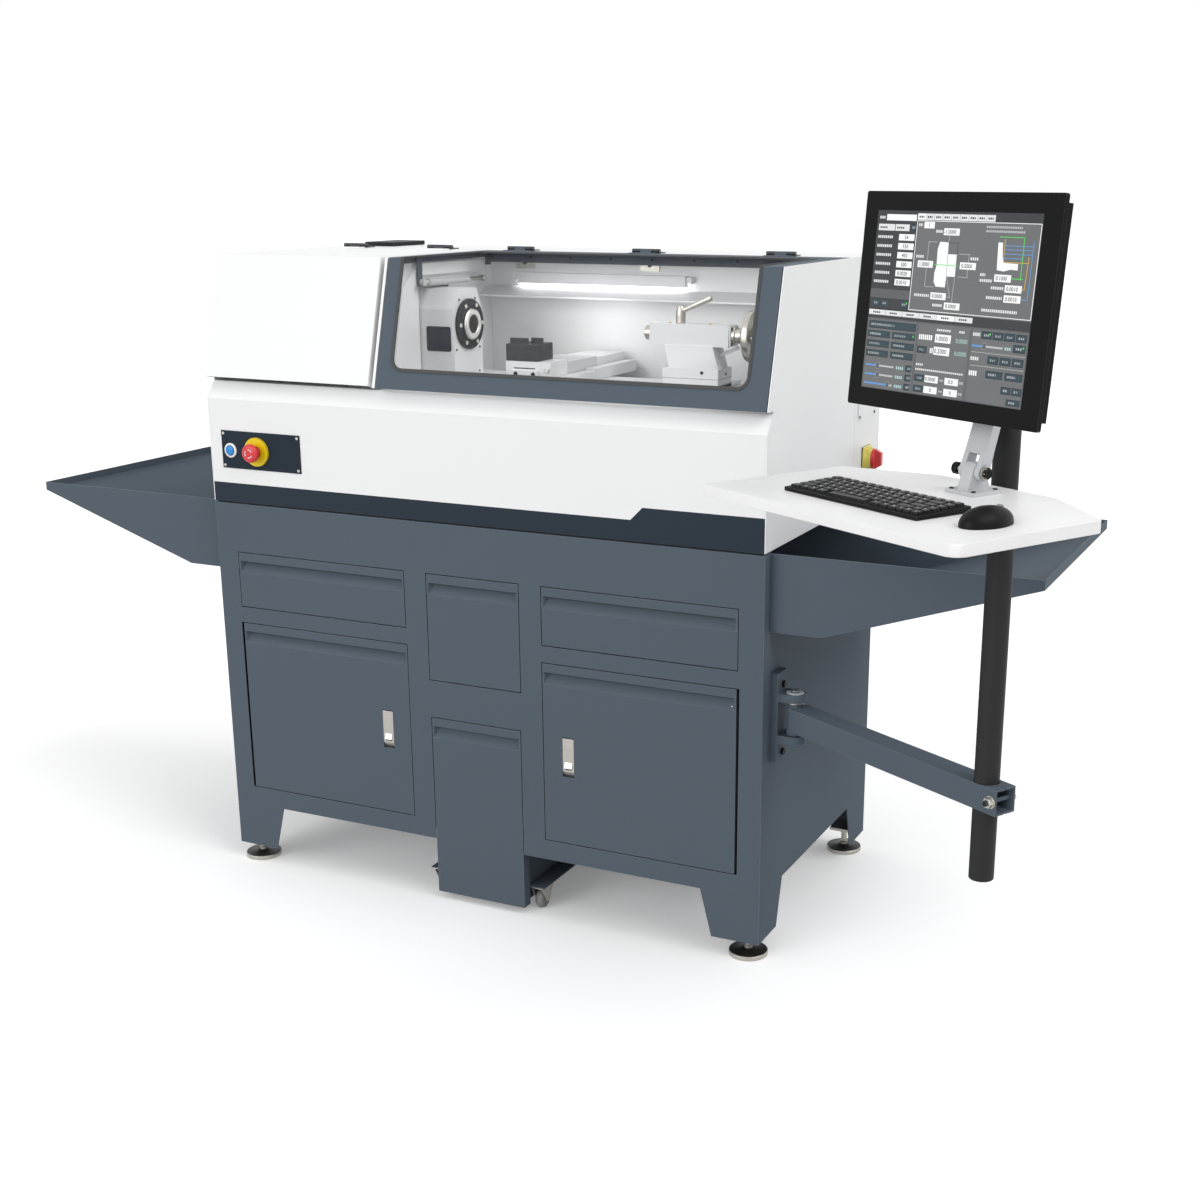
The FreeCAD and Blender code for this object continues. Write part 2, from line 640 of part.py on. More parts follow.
def bed():
    slot_y0, slot_y1, slot_z = CHANNEL
    outline = [(BED_Y0, 985), (BED_Y1, 985), (BED_Y1, BED_TOP), (slot_y1, BED_TOP),
               (slot_y1, slot_z), (slot_y0, slot_z), (slot_y0, BED_TOP), (BED_Y0, BED_TOP)]
    beam = slab_x(outline, HEAD_X0 + 2, 1160)
    tray_top = TRAY_FLOOR + SHEET
    legs = [box(x, x + 130, BED_Y0 + 15, BED_Y1 - 15, tray_top, 985) for x in (430, 750)]
    ends = [cut(box(x, x + 24, slot_y0, slot_y1, slot_z, BED_TOP - 1),
                bar("x", x - 1, SCREW_Y, SCREW_Z, SCREW_R + 1, 26)) for x in (HEAD_FACE_X + 10, 1130)]
    return fuse(beam, *(legs + ends))


def headstock():
    outline = [(175, BED_TOP), (175, 1215), (192, 1254), (269, 1254), (286, 1215), (286, BED_TOP)]
    body = slab_x(outline, HEAD_X0, HEAD_FACE_X)
    bracket = box(HEAD_X0 - 10, HEAD_X0, 172, 292, MOTOR_Z - 62, 1215)
    bore = bar("x", HEAD_X0 - 20, SPINDLE_Y, SPINDLE_Z, SPINDLE_R + 0.8, 300, 20)
    shaft_hole = bar("x", HEAD_X0 - 20, SPINDLE_Y, MOTOR_Z, 20, 30)
    return cut(fuse(body, bracket), bore, shaft_hole)


CAP_R = 51.0
CAP_T = 8.0


def bearing_cap():
    """Ring that holds the front bearing, with the spindle nose standing out of it."""
    profile = [(0, CAP_R), (CAP_T - 2, CAP_R), (CAP_T, CAP_R - 2)]
    ring = turned("x", HEAD_FACE_X, SPINDLE_Y, SPINDLE_Z, profile, 28)
    return cut(ring, bar("x", HEAD_FACE_X - 1, SPINDLE_Y, SPINDLE_Z, 33, CAP_T + 2, 20))


def flanged_pulley(x, z, radius, sides):
    """Flat belt pulley with a rim at each edge."""
    rim = radius + 6
    return turned("x", x, SPINDLE_Y, z, [(0, rim), (2.5, rim), (2.5, radius), (PULLEY_W - 2.5, radius),
                                         (PULLEY_W - 2.5, rim), (PULLEY_W, rim)], sides)


def spindle():
    """Hollow spindle from the belt pulley to the nose, with a true bore for bar stock."""
    shaft = bar("x", PULLEY_X - 10, SPINDLE_Y, SPINDLE_Z, SPINDLE_R, HEAD_FACE_X - PULLEY_X + 14, 20)
    nose = turned("x", HEAD_FACE_X + 2, SPINDLE_Y, SPINDLE_Z, [(0, 31.5), (10, 31.5), (12, 29)], 20)
    solid = fuse(shaft, nose, flanged_pulley(PULLEY_X, SPINDLE_Z, PULLEY_R, 18))
    return cut(solid, rod("x", PULLEY_X - 20, SPINDLE_Y, SPINDLE_Z, SPINDLE_BORE_R, 400))


def belt_loop(extra):
    """Both pulleys' circles and the straight runs between them, grown by a margin."""
    r1 = PULLEY_R + extra
    r2 = MOTOR_PULLEY_R + extra
    reach = SPINDLE_Z - MOTOR_Z
    tilt = math.asin((r1 - r2) / reach)
    x = PULLEY_X + 3.5
    width = PULLEY_W - 7
    cy, sy = math.cos(tilt), math.sin(tilt)
    runs = slab_x([(SPINDLE_Y - r1 * cy, SPINDLE_Z + r1 * sy), (SPINDLE_Y + r1 * cy, SPINDLE_Z + r1 * sy),
                   (SPINDLE_Y + r2 * cy, MOTOR_Z + r2 * sy), (SPINDLE_Y - r2 * cy, MOTOR_Z + r2 * sy)],
                  x, x + width)
    return fuse(runs, bar("x", x, SPINDLE_Y, SPINDLE_Z, r1, width, 18),
                bar("x", x, SPINDLE_Y, MOTOR_Z, r2, width, 14))


def drive_belt():
    return cut(belt_loop(4.8), belt_loop(0.8))


def spindle_motor():
    x = HEAD_X0
    flange = box(x, x + 10, SPINDLE_Y - 56, SPINDLE_Y + 56, MOTOR_Z - 56, MOTOR_Z + 56)
    can = turned("x", x + 10, SPINDLE_Y, MOTOR_Z, [(0, 52), (144, 52), (150, 46)], 18)
    return cut(fuse(flange, can), bar("x", x - 1, SPINDLE_Y, MOTOR_Z, 12, 40))


def motor_pulley():
    shaft = bar("x", PULLEY_X - 6, SPINDLE_Y, MOTOR_Z, 9, HEAD_X0 + 30 - PULLEY_X)
    return fuse(shaft, flanged_pulley(PULLEY_X, MOTOR_Z, MOTOR_PULLEY_R, 14))


SADDLE_X0, SADDLE_X1 = 640.0, 777.0
SLIDE_X0, SLIDE_X1 = 658.0, 758.0
SADDLE_TOP = 1098.0


def saddle():
    base = box(SADDLE_X0, SADDLE_X1, 142, 446, BED_TOP + 0.5, SADDLE_TOP)
    guard = box(753, SADDLE_X1, 255, 446, SADDLE_TOP, SADDLE_TOP + 4)
    cover = box(668, 749, 255, 446, SADDLE_TOP, 1118)
    cover = cut(cover, box(670, 747, 250, 450, SADDLE_TOP, 1116))
    nut = box(680, 740, 212, 258, 1040, BED_TOP + 1)
    nut = cut(nut, bar("x", 670, SCREW_Y, SCREW_Z, SCREW_R + 0.8, 80))
    apron = box(SADDLE_X0 + 8, SADDLE_X1 - 8, 130, 142, 1040, SADDLE_TOP)
    return fuse(base, guard, cover, nut, apron)


def cross_slide():
    z0, z1 = SADDLE_TOP + 0.4, 1127.6
    block = box(SLIDE_X0, SLIDE_X1, 104, 172, z0, z1)
    slot = fuse(box(675, 723, 100, 180, 1113, 1115.5), box(690, 708, 100, 180, 1113, z1 + 1))
    gib = box(673, 731, 98, 104, SADDLE_TOP + 0.4, 1111)
    end_cap = bar("y", 748, 101, 1113, 3.6, 5)
    return fuse(cut(block, slot), gib, end_cap)


def way_cover():
    """Front half of the telescopic cover; it runs over the half on the saddle."""
    cover = box(665, 752, 172, 312, SADDLE_TOP + 0.8, 1121)
    return cut(cover, box(666.5, 750.5, 170, 314, SADDLE_TOP - 1, 1119.5))


def tool_block():
    block = box(658, 728, 106, 169, 1127.6, 1160)
    pocket = box(700, 735, 118, 160, 1150, 1165)
    tabs = [box(667, 706, 106, 113, 1160, 1172), box(712, 719, 128, 169, 1150, 1172)]
    return fuse(cut(block, pocket), *tabs)


def z_screw():
    return rod("x", HEAD_FACE_X + 8, SCREW_Y, SCREW_Z, SCREW_R, 656)


QUILL_R = 13.6
TAIL_X0, TAIL_X1 = 918.0, 1084.0


def tailstock():
    foot = box(949, 1067, 160, 322, BED_TOP + 0.5, 1118)
    tongue = box(955, 1061, 203, 267, 1067, BED_TOP + 1)
    column = slab_y([(951, 1161), (1053, 1161), (1065, 1117), (962, 1117)], 208, 258)
    head = box(TAIL_X0, TAIL_X1, 212, 252, 1160, 1201)
    plate = box(TAIL_X1, TAIL_X1 + 4, 213, 251, 1161, 1200)
    bore = bar("x", TAIL_X0 - 5, SPINDLE_Y, SPINDLE_Z - 2, QUILL_R + 0.8, 165, 16)
    screw_hole = bar("x", TAIL_X0, SPINDLE_Y, SPINDLE_Z - 2, 7.2, 180)
    stay = between((1058, 240, 1143), (1094, 240, 1158), 4, 6)
    return cut(fuse(foot, tongue, column, head, plate, stay), bore, screw_hole)


def quill():
    z = SPINDLE_Z - 2
    body = turned("x", 903, SPINDLE_Y, z, [(0, QUILL_R - 2), (2, QUILL_R), (167, QUILL_R)], 18)
    taper = turned("x", 902, SPINDLE_Y, z, [(0, 9), (66, 7.4), (180, 7.4)], 12)
    return cut(body, taper)


WHEEL_X = 1102.0


def handwheel():
    """Dished wheel with its boss, feed screw and turning handle."""
    z = SPINDLE_Z - 2
    collar = turned("x", TAIL_X1 + 4.5, SPINDLE_Y, z, [(0, 12.5), (8, 12.5), (8, 10), (16, 10)], 12)
    disc = cut(turned("x", WHEEL_X, SPINDLE_Y, z, [(0, 47), (4, 49), (14, 49)], 24),
               turned("x", WHEEL_X + 5, SPINDLE_Y, z, [(0, 40), (10, 42)], 20))
    boss = bar("x", WHEEL_X, SPINDLE_Y, z, 14, 13)
    screw = bar("x", 990, SPINDLE_Y, z, 6.4, 115, 8)
    grip = turned("x", WHEEL_X + 4, SPINDLE_Y - 34, z, [(0, 4), (11, 4), (13, 6), (39, 5)], 10)
    return fuse(collar, disc, boss, screw, grip)


LEVER_X = 976.0


def clamp_lever():
    base = turned("z", LEVER_X, SPINDLE_Y, 1218, [(0, 10), (16, 7)], 12)
    foot = bar("z", LEVER_X, SPINDLE_Y, 1201.4, 9.5, 17)
    arm = between((LEVER_X, SPINDLE_Y, 1224), (LEVER_X + 64, SPINDLE_Y, 1252), 4.4)
    return fuse(base, foot, arm)


# ---- operator arm ----------------------------------------------------------------
TUBE = 45.0
ARM_Z0 = 471.5
ARM_END = 43.0                   # tube runs this far past the post
LUGS = ((444.0, 459.0), (526.0, 541.5))


def arm_bracket():
    plate = box(STAND_W, STAND_W + 14.5, 40, 87, 406, 580.5)
    lugs = []
    for z0, z1 in LUGS:
        lugs += [box(STAND_W + 14, PIN_X, PIN_Y - 22, PIN_Y + 22, z0, z1),
                 bar("z", PIN_X, PIN_Y, z0, 22, z1 - z0, 16)]
    pin = fuse(bar("z", PIN_X, PIN_Y, LUGS[0][0] - 6, 7, 110), bar("z", PIN_X, PIN_Y, LUGS[1][1], 9, 5))
    return fuse(plate, pin, *lugs)


def swing_arm():
    """Square tube along U, worked out at the pin and turned about it."""
    sleeve = bar("z", 0, 0, LUGS[0][1] + 1, 16, LUGS[1][0] - LUGS[0][1] - 2)
    half = TUBE / 2
    end = ARM_REACH + ARM_END
    tube = box(10, end, -half, half, ARM_Z0, ARM_Z0 + TUBE)
    tube = cut(tube, box(20, end + 1, -half + 3, half - 3, ARM_Z0 + 3, ARM_Z0 + TUBE - 3))
    slit = box(ARM_REACH, end + 1, -1.5, 1.5, ARM_Z0 - 1, ARM_Z0 + TUBE + 1)
    bolt = fuse(bar("y", ARM_REACH + 31, -half - 6, ARM_Z0 + half, 4, TUBE + 12, 8),
                bar("y", ARM_REACH + 31, -half - 7, ARM_Z0 + half, 8, 7, 8),
                bar("y", ARM_REACH + 31, half, ARM_Z0 + half, 7.5, 7, 6))
    post_hole = bar("z", ARM_REACH, 0, ARM_Z0 - 1, POST_R + 0.8, TUBE + 2, 20)
    pin_hole = bar("z", 0, 0, LUGS[0][1], 7.6, 80)
    arm = fuse(cut(tube, slit, post_hole), cut(sleeve, pin_hole), bolt)
    arm.rotate(Vec(0, 0, 0), Vec(0, 0, 1), ARM_YAW)
    arm.translate(Vec(PIN_X, PIN_Y, 0))
    return arm


DESK_T = 18.0
DESK_MID = 10.0                  # the desk sits a little right of the post
DESK_HALF = 275.0
DESK_BACK = -30.0
DESK_FRONT = -390.0
CORNER = (153.0, 75.0)           # cut-off rear corners, across and deep


def post():
    tube = cut(rod("z", 0, 0, 344, POST_R, 836), bar("z", 0, 0, 340, POST_R - 3, 830, 12))
    z = DESK_TOP - DESK_T
    collar = cut(bar("z", 0, 0, z - 60, 27, 60, 16), bar("z", 0, 0, z - 61, POST_R - 1, 62, 12))
    plate = box(-60, 60, -230, -24, z - 8, z)
    rib = slab_x([(-24, z - 60), (-24, z - 7), (-200, z - 7)], -3, 3)
    return placed_by_arm(fuse(tube, collar, plate, rib))


def desk():
    left, right = DESK_MID - DESK_HALF, DESK_MID + DESK_HALF
    across, deep = CORNER
    outline = [(left, DESK_FRONT), (right, DESK_FRONT), (right, DESK_BACK - deep),
               (right - across, DESK_BACK), (left + across, DESK_BACK), (left, DESK_BACK - deep)]
    top = slab_z(outline, DESK_TOP - DESK_T, DESK_TOP)
    front_corners = [e for e in top.Edges
                     if e.BoundBox.ZLength > DESK_T - 1 and e.CenterOfMass.y < DESK_FRONT + 1]
    top = top.makeFillet(8, front_corners)
    return placed_by_arm(top)


KEYBOARD = (-150.0, 140.0, -322.0, -198.0)
KEY_ROWS = 6


def keyboard():
    """Sloping deck with its keys as one raised step for each row."""
    u0, u1, v0, v1 = KEYBOARD
    front, rear = DESK_TOP + 9, DESK_TOP + 20
    deck = slab_x([(v0, DESK_TOP), (v1, DESK_TOP), (v1, rear), (v0, front)], u0, u1)
    pitch = (v1 - v0 - 8) / KEY_ROWS
    rows = []
    for i in range(KEY_ROWS):
        a = v0 + 4 + i * pitch
        z = front + (rear - front) * (a - v0) / (v1 - v0)
        rows.append(slab_x([(a + 1, z - 1), (a + pitch - 1, z - 1), (a + pitch - 1, z + 6), (a + 2, z + 5)],
                           u0 + 5, u1 - 5))
    return placed_by_arm(fuse(deck, *rows))


MOUSE = (213.0, -260.0, 28.0, 47.0, 33.0)     # middle, half width, half length, height


def mouse():
    """Low hump: level slices, each a polygon that shrinks towards the top."""
    u, v, half_w, half_l, height = MOUSE
    sides, slices = 14, 4
    rings = []
    for k in range(slices + 1):
        rise = math.radians(78) * k / slices
        turns = [2 * math.pi * i / sides for i in range(sides)]
        w, l = half_w * math.cos(rise), half_l * math.cos(rise)
        z = DESK_TOP + height * math.sin(rise)
        rings.append([Vec(u + w * math.cos(t), v + l * math.sin(t), z) for t in turns])
    faces = [polygon(rings[0]), polygon(rings[-1])]
    for low, high in zip(rings, rings[1:]):
        for i in range(sides):
            j = (i + 1) % sides
            faces.append(polygon([low[i], low[j], high[j], high[i]]))
    return placed_by_arm(Part.Solid(Part.Shell(faces)))


KNUCKLE_U, KNUCKLE_V = 30.0, -100.0
KNUCKLE_Z = 1046.0
LINK_LEAN = math.radians(17.5)
LINK_L = 160.0
HEAD_V = KNUCKLE_V + LINK_L * math.sin(LINK_LEAN)
HEAD_Z = KNUCKLE_Z + LINK_L * math.cos(LINK_LEAN)


def monitor_base():
    u, v = KNUCKLE_U, KNUCKLE_V
    plate = box(u - 30, u + 30, v - 30, v + 30, DESK_TOP, DESK_TOP + 6)
    cheek = slab_x([(v - 24, DESK_TOP + 6), (v + 24, DESK_TOP + 6), (v + 14, KNUCKLE_Z), (v - 14, KNUCKLE_Z)],
                   u - 11, u + 11)
    hub = bar("x", u - 11, v, KNUCKLE_Z, 15, 22)
    bolt = bar("x", u - 34, v, KNUCKLE_Z, 4.6, 62, 8)
    knob = bar("x", u - 40, v, KNUCKLE_Z, 9, 9, 8)
    nut = bar("x", u + 24, v, KNUCKLE_Z, 8, 6, 6)
    return placed_by_arm(fuse(plate, cheek, hub, bolt, knob, nut))


def monitor_link():
    """Upright at its lower hub, then leaned back."""
    u = KNUCKLE_U
    arms = []
    for a, b in ((-21, -11.5), (11.5, 21)):
        arms += [slab_x([(-11, -4), (11, -4), (9, 34), (-9, 34)], u + a, u + b),
                 bar("x", u + a, 0, 0, 13, b - a, 10)]
    blade = slab_x([(-9, 26), (9, 26), (7, LINK_L - 16), (-7, LINK_L - 16)], u - 21, u + 21)
    neck = box(u - 11, u + 11, -7, 7, LINK_L - 18, LINK_L)
    head = bar("x", u - 11, 0, LINK_L, 11, 22, 10)
    link = fuse(blade, neck, head, *arms)
    link = cut(link, bar("x", u - 40, 0, 0, 5.2, 80, 8), bar("x", u - 40, 0, LINK_L, 4.6, 80, 8))
    link.rotate(Vec(0, 0, 0), Vec(1, 0, 0), -math.degrees(LINK_LEAN))
    link.translate(Vec(0, KNUCKLE_V, KNUCKLE_Z))
    return placed_by_arm(link)


MONITOR_W, MONITOR_H = 402.0, 327.0
SCREEN_W, SCREEN_H = 338.0, 270.0
SCREEN_SHIFT = -3.6
MONITOR_U, MONITOR_V, MONITOR_Z = -17.7, -124.0, 1288.5
MONITOR_TILT = 5.0


def placed_monitor(shape):
    """Monitor pieces are drawn upright round the middle of the front face."""
    tilted = shape.copy()
    tilted.rotate(Vec(0, 0, 0), Vec(1, 0, 0), -MONITOR_TILT)
    tilted.translate(Vec(MONITOR_U, MONITOR_V, MONITOR_Z))
    return placed_by_arm(tilted)


def monitor_case():
    w, h = MONITOR_W / 2, MONITOR_H / 2
    bezel = box(-w, w, 0, 8, -h, h)
    corners = [e for e in bezel.Edges if abs(e.Vertexes[0].Y - e.Vertexes[1].Y) > 7]
    bezel = bezel.makeChamfer(2.5, corners)
    shell = box(-w + 9, w - 9, 8, 33, -h + 12, h - 12)
    rear = [e for e in shell.Edges if e.CenterOfMass.y > 32]
    shell = shell.makeChamfer(6, rear)
    recess = box(SCREEN_SHIFT - SCREEN_W / 2, SCREEN_SHIFT + SCREEN_W / 2, -1, 1.8,
                 -SCREEN_H / 2, SCREEN_H / 2)
    plate = box(-60, 60, 33, 37, -60, 60)
    case = placed_monitor(fuse(cut(bezel, recess), shell, plate))
    lugs = []
    for a, b in ((-20, -11.6), (11.6, 20)):
        outline = [(MONITOR_V + 34, MONITOR_Z - 5), (MONITOR_V + 30, MONITOR_Z - 58),
                   (HEAD_V - 8, HEAD_Z - 9), (HEAD_V + 9, HEAD_Z - 8), (HEAD_V + 9, HEAD_Z + 10)]
        lugs.append(slab_x(outline, KNUCKLE_U + a, KNUCKLE_U + b))
    pin = bar("x", KNUCKLE_U - 12, HEAD_V, HEAD_Z, 4, 24, 8)
    heads = [bar("x", x, HEAD_V, HEAD_Z, 7, 4, 6) for x in (KNUCKLE_U - 24, KNUCKLE_U + 20)]
    return fuse(case, placed_by_arm(fuse(pin, *(lugs + heads))))


def screen():
    glass = box(SCREEN_SHIFT - SCREEN_W / 2 + 0.2, SCREEN_SHIFT + SCREEN_W / 2 - 0.2, 0.4, 1.8,
                -SCREEN_H / 2 + 0.2, SCREEN_H / 2 - 0.2)
    return placed_monitor(glass)


# ---- every node ------------------------------------------------------------------
side = stand_side()
save("stand_front", stand_front())
save("stand_sides", side, mirrored(side))
save("stand_back", stand_back())
save("bay_liners", *bay_liners())
save("levelling_feet", *[levelling_foot(x, y) for x in (FOOT_IN, STAND_W - FOOT_IN)
                         for y in (FOOT_IN, STAND_D - FOOT_IN)])
save("chip_tray", chip_tray())

save("left_drawer", drawer(LEFT_DRAWER, DRAWER_SHELF, 560, 655))
save("centre_drawer", drawer(CENTRE_DRAWER, CENTRE_SHELF, 560, 655))
save("right_drawer", drawer(RIGHT_DRAWER, DRAWER_SHELF, 560, 655))
door = left_door()
latch = left_latch()
save("left_door", door)
save("right_door", mirrored(door))
save("left_latch", latch)
save("right_latch", mirrored(latch))

save("coolant_tank", coolant_tank())
save("coolant_pump", coolant_pump())
save("casters", *casters())

save("front_panel", front_panel())
save("side_panels", *side_panels())
save("rear_cabinet", rear_cabinet())
save("divider", divider())
save("back_splash", back_splash())
save("light_bar", light_bar())
save("roof_hinges", *roof_hinges())
save("control_plate", control_plate())
save("estop_button", estop_button())
save("reset_button", reset_button())
save("switch_body", switch_body())
save("switch_knob", switch_knob())

save("headstock_cover", headstock_cover())
save("window_frame", window_frame())
save("window_pane", window_pane())
save("window_seal", window_seal())
save("strut_tube", strut_tube())
save("strut_rod", strut_rod())

save("bed", bed())
save("headstock", headstock())
save("bearing_cap", bearing_cap())
save("spindle", spindle())
save("drive_belt", drive_belt())
save("spindle_motor", spindle_motor())
save("motor_pulley", motor_pulley())
save("saddle", saddle())
save("cross_slide", cross_slide())
save("way_cover", way_cover())
save("tool_block", tool_block())
save("z_screw", z_screw())
save("tailstock", tailstock())
save("quill", quill())
save("handwheel", handwheel())
save("clamp_lever", clamp_lever())

save("arm_bracket", arm_bracket())
save("swing_arm", swing_arm())
save("post", post())
save("desk", desk())
save("keyboard", keyboard())
save("mouse", mouse())
save("monitor_base", monitor_base())
save("monitor_link", monitor_link())
save("monitor_case", monitor_case())
save("screen", screen())
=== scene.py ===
# %% [markdown]
# # A CNC turning lathe on its cabinet stand
# The machine's solids come from the CAD model, which is loaded as a fixed frame. This
# notebook gives them their finishes, turns the round parts finely, and adds what is too
# small for the CAD: screws, keys, arrows, the display's picture. Everything is in metres.

import json
import math

import bmesh
import bpy
from mathutils import Matrix, Vector


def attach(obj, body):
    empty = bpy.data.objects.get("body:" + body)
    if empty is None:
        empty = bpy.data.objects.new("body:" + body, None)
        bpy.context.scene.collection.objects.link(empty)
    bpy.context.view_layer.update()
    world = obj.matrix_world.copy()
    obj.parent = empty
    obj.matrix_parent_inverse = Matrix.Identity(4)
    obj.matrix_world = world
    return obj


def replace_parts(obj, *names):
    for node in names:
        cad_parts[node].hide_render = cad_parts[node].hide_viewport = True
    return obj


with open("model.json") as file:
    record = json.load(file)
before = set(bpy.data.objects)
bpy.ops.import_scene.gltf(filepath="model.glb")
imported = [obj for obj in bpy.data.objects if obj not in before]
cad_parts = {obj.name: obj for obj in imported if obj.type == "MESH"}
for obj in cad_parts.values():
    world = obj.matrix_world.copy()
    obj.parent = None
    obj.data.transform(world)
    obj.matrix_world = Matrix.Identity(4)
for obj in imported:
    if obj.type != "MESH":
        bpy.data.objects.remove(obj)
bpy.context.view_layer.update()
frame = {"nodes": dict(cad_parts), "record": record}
BODY_OF = {node: body for body, nodes in frame["record"]["behaviour"]["bodies"].items() for node in nodes}

# %% [markdown]
# The CAD model was drawn in millimetres from the stand's front left corner, and its
# origin was then moved to the floor under the front left levelling foot. Working in the
# drawing's own numbers keeps both files readable side by side, so one matrix turns a
# drawing position into a place in the scene. The arm has axes of its own, at the post.

# %% Drawing sizes to scene places
MM = 0.001
FOOT_IN = 34.0
STAND_W, STAND_D = 1250.0, 650.0
ARM_YAW = math.radians(-30)
PIN_X, PIN_Y, ARM_REACH = 1291.0, 63.0, 495.0
POST_X = PIN_X + ARM_REACH * math.cos(ARM_YAW)
POST_Y = PIN_Y + ARM_REACH * math.sin(ARM_YAW)

MACHINE = Matrix.Scale(MM, 4) @ Matrix.Translation((-FOOT_IN, -FOOT_IN, 0))
ARM = MACHINE @ Matrix.Translation((POST_X, POST_Y, 0)) @ Matrix.Rotation(ARM_YAW, 4, "Z")
print("Post stands at", [round(v, 3) for v in ARM.translation])

# %% [markdown]
# The camera comes first, because every finish is judged through it. It stands to the
# right of the machine and a little above it, looking slightly down. The lens shift
# keeps the machine where a photographer would frame it.

# %% Camera
camera_data = bpy.data.cameras.new("camera")
camera_data.lens = 49.33
camera_data.sensor_width = 36.0
camera_data.shift_x = -0.0499
camera_data.shift_y = 0.0550
camera = bpy.data.objects.new("camera", camera_data)
camera.location = (2.2696, -2.7556, 1.4713)
camera.rotation_euler = (math.radians(73.45), 0, math.radians(24.92))
bpy.context.collection.objects.link(camera)
bpy.context.scene.camera = camera

# %% [markdown]
# Finishes are shader graphs. Written node by node they are hard to read, so a small
# class wraps a socket and lets plain sums build the Math nodes. Every other node comes
# from one method, which takes the node's type, its settings and its inputs.

# %% Sockets that can do sums
class Value:
    """An output socket that Python's operators can work with."""

    def __init__(self, graph, socket):
        self.graph = graph
        self.socket = socket

    def math(self, operation, *others):
        return self.graph.node("ShaderNodeMath", {"operation": operation}, [self, *others])

    def __add__(self, other):
        return self.math("ADD", other)

    __radd__ = __add__

    def __sub__(self, other):
        return self.math("SUBTRACT", other)

    def __rsub__(self, other):
        return self.graph.node("ShaderNodeMath", {"operation": "SUBTRACT"}, [other, self])

    def __mul__(self, other):
        return self.math("MULTIPLY", other)

    __rmul__ = __mul__

    def __truediv__(self, other):
        return self.math("DIVIDE", other)

    def __gt__(self, edge):
        return self.math("GREATER_THAN", edge)

    def __lt__(self, edge):
        return self.math("LESS_THAN", edge)

    def between(self, low, high):
        return (self > low) * (self < high)


class Graph:
    """A material's node tree with its Principled shader."""

    def __init__(self, name):
        self.material = bpy.data.materials.new(name)
        self.material.use_nodes = True
        self.tree = self.material.node_tree
        self.shader = next(n for n in self.tree.nodes if n.type == "BSDF_PRINCIPLED")

    def node(self, kind, settings=None, inputs=None, out=0):
        made = self.tree.nodes.new(kind)
        for key, value in (settings or {}).items():
            setattr(made, key, value)
        pairs = inputs.items() if isinstance(inputs, dict) else enumerate(inputs or [])
        for key, value in pairs:
            self.feed(made.inputs[key], value)
        return Value(self, made.outputs[out])

    def feed(self, socket, value):
        if isinstance(value, Value):
            self.tree.links.new(value.socket, socket)
        else:
            socket.default_value = value

    def set(self, **sockets):
        """Constants and links on the shader's own sockets, such as base_color=..."""
        for name, value in sockets.items():
            words = name.replace("_", " ").title().replace("Ior", "IOR")
            self.feed(self.shader.inputs[words], value)
        return self.material

    def place(self):
        """Object coordinates: metres from the frame's origin."""
        return self.node("ShaderNodeTexCoord", out=3)

    def axes(self):
        """The place as three values in the drawing's millimetres."""
        split = self.node("ShaderNodeSeparateXYZ", inputs=[self.place()]).socket.node.outputs
        x, y, z = (Value(self, socket) for socket in split)
        return x / MM + FOOT_IN, y / MM + FOOT_IN, z / MM

    def noise(self, scale, detail=2.0, vector=None):
        inputs = {"Vector": vector or self.place(), "Scale": scale, "Detail": detail}
        return self.node("ShaderNodeTexNoise", inputs=inputs)

    def stretched(self, scale):
        return self.node("ShaderNodeMapping", inputs={"Vector": self.place(), "Scale": scale})

    def mix(self, mask, first, second):
        """first where the mask is 0 and second where it is 1, for colours."""
        return self.node("ShaderNodeMix", {"data_type": "RGBA"}, {0: mask, 6: first, 7: second}, out=2)

    def bump(self, height, strength, normal=None, distance=0.001):
        inputs = {"Height": height, "Strength": strength, "Distance": distance}
        if normal:
            inputs["Normal"] = normal
        return self.node("ShaderNodeBump", inputs=inputs)

    def edges(self, radius_mm=1.2):
        """Normals that roll over each edge, and a mask that is 1 along the edge."""
        rolled = self.node("ShaderNodeBevel", {"samples": 4}, [radius_mm * MM])
        flat = self.node("ShaderNodeNewGeometry", out=1)
        facing = self.node("ShaderNodeVectorMath", {"operation": "DOT_PRODUCT"}, [rolled, flat], out=1)
        worn = self.node("ShaderNodeClamp", inputs=[(1 - facing) * 5, 0.0, 1.0])
        return rolled, worn


def rgb(code):
    """A hex colour as a designer writes it, turned into the linear values Blender uses."""
    parts = [int(code[i:i + 2], 16) / 255 for i in (1, 3, 5)]
    linear = [p / 12.92 if p <= 0.04045 else ((p + 0.055) / 1.055) ** 2.4 for p in parts]
    return (*linear, 1.0)


def shade(colour, factor):
    return (*(min(c * factor, 1.0) for c in colour[:3]), 1.0)


# %% [markdown]
# The stand, the tray and the arm are powder coated. Powder melts into a skin that is
# slightly uneven, like orange peel, and its sheen drifts a little across a large panel.
# On a sheared or folded edge the skin is thinner and rubbed brighter. A fine noise into
# a Bump node gives the skin, a broad noise moves colour and roughness by a few percent,
# and the edge mask lightens the corners.

# %% Powder coat
def coat_of(graph, base, roughness, peel, gloss=0.3):
    """Finishes a painted graph from its colour, which may be a mask's mix."""
    rolled, worn = graph.edges()
    drift = graph.noise(2.5, 3.0)
    skin = graph.noise(650.0, 2.0)
    lit_edge = graph.mix(worn * 0.5 * drift, base, (0.75, 0.77, 0.79, 1))
    return graph.set(base_color=lit_edge, roughness=roughness - 0.04 + drift * 0.1 - worn * 0.08,
                     normal=graph.bump(skin, peel, rolled), specular_ior_level=gloss)


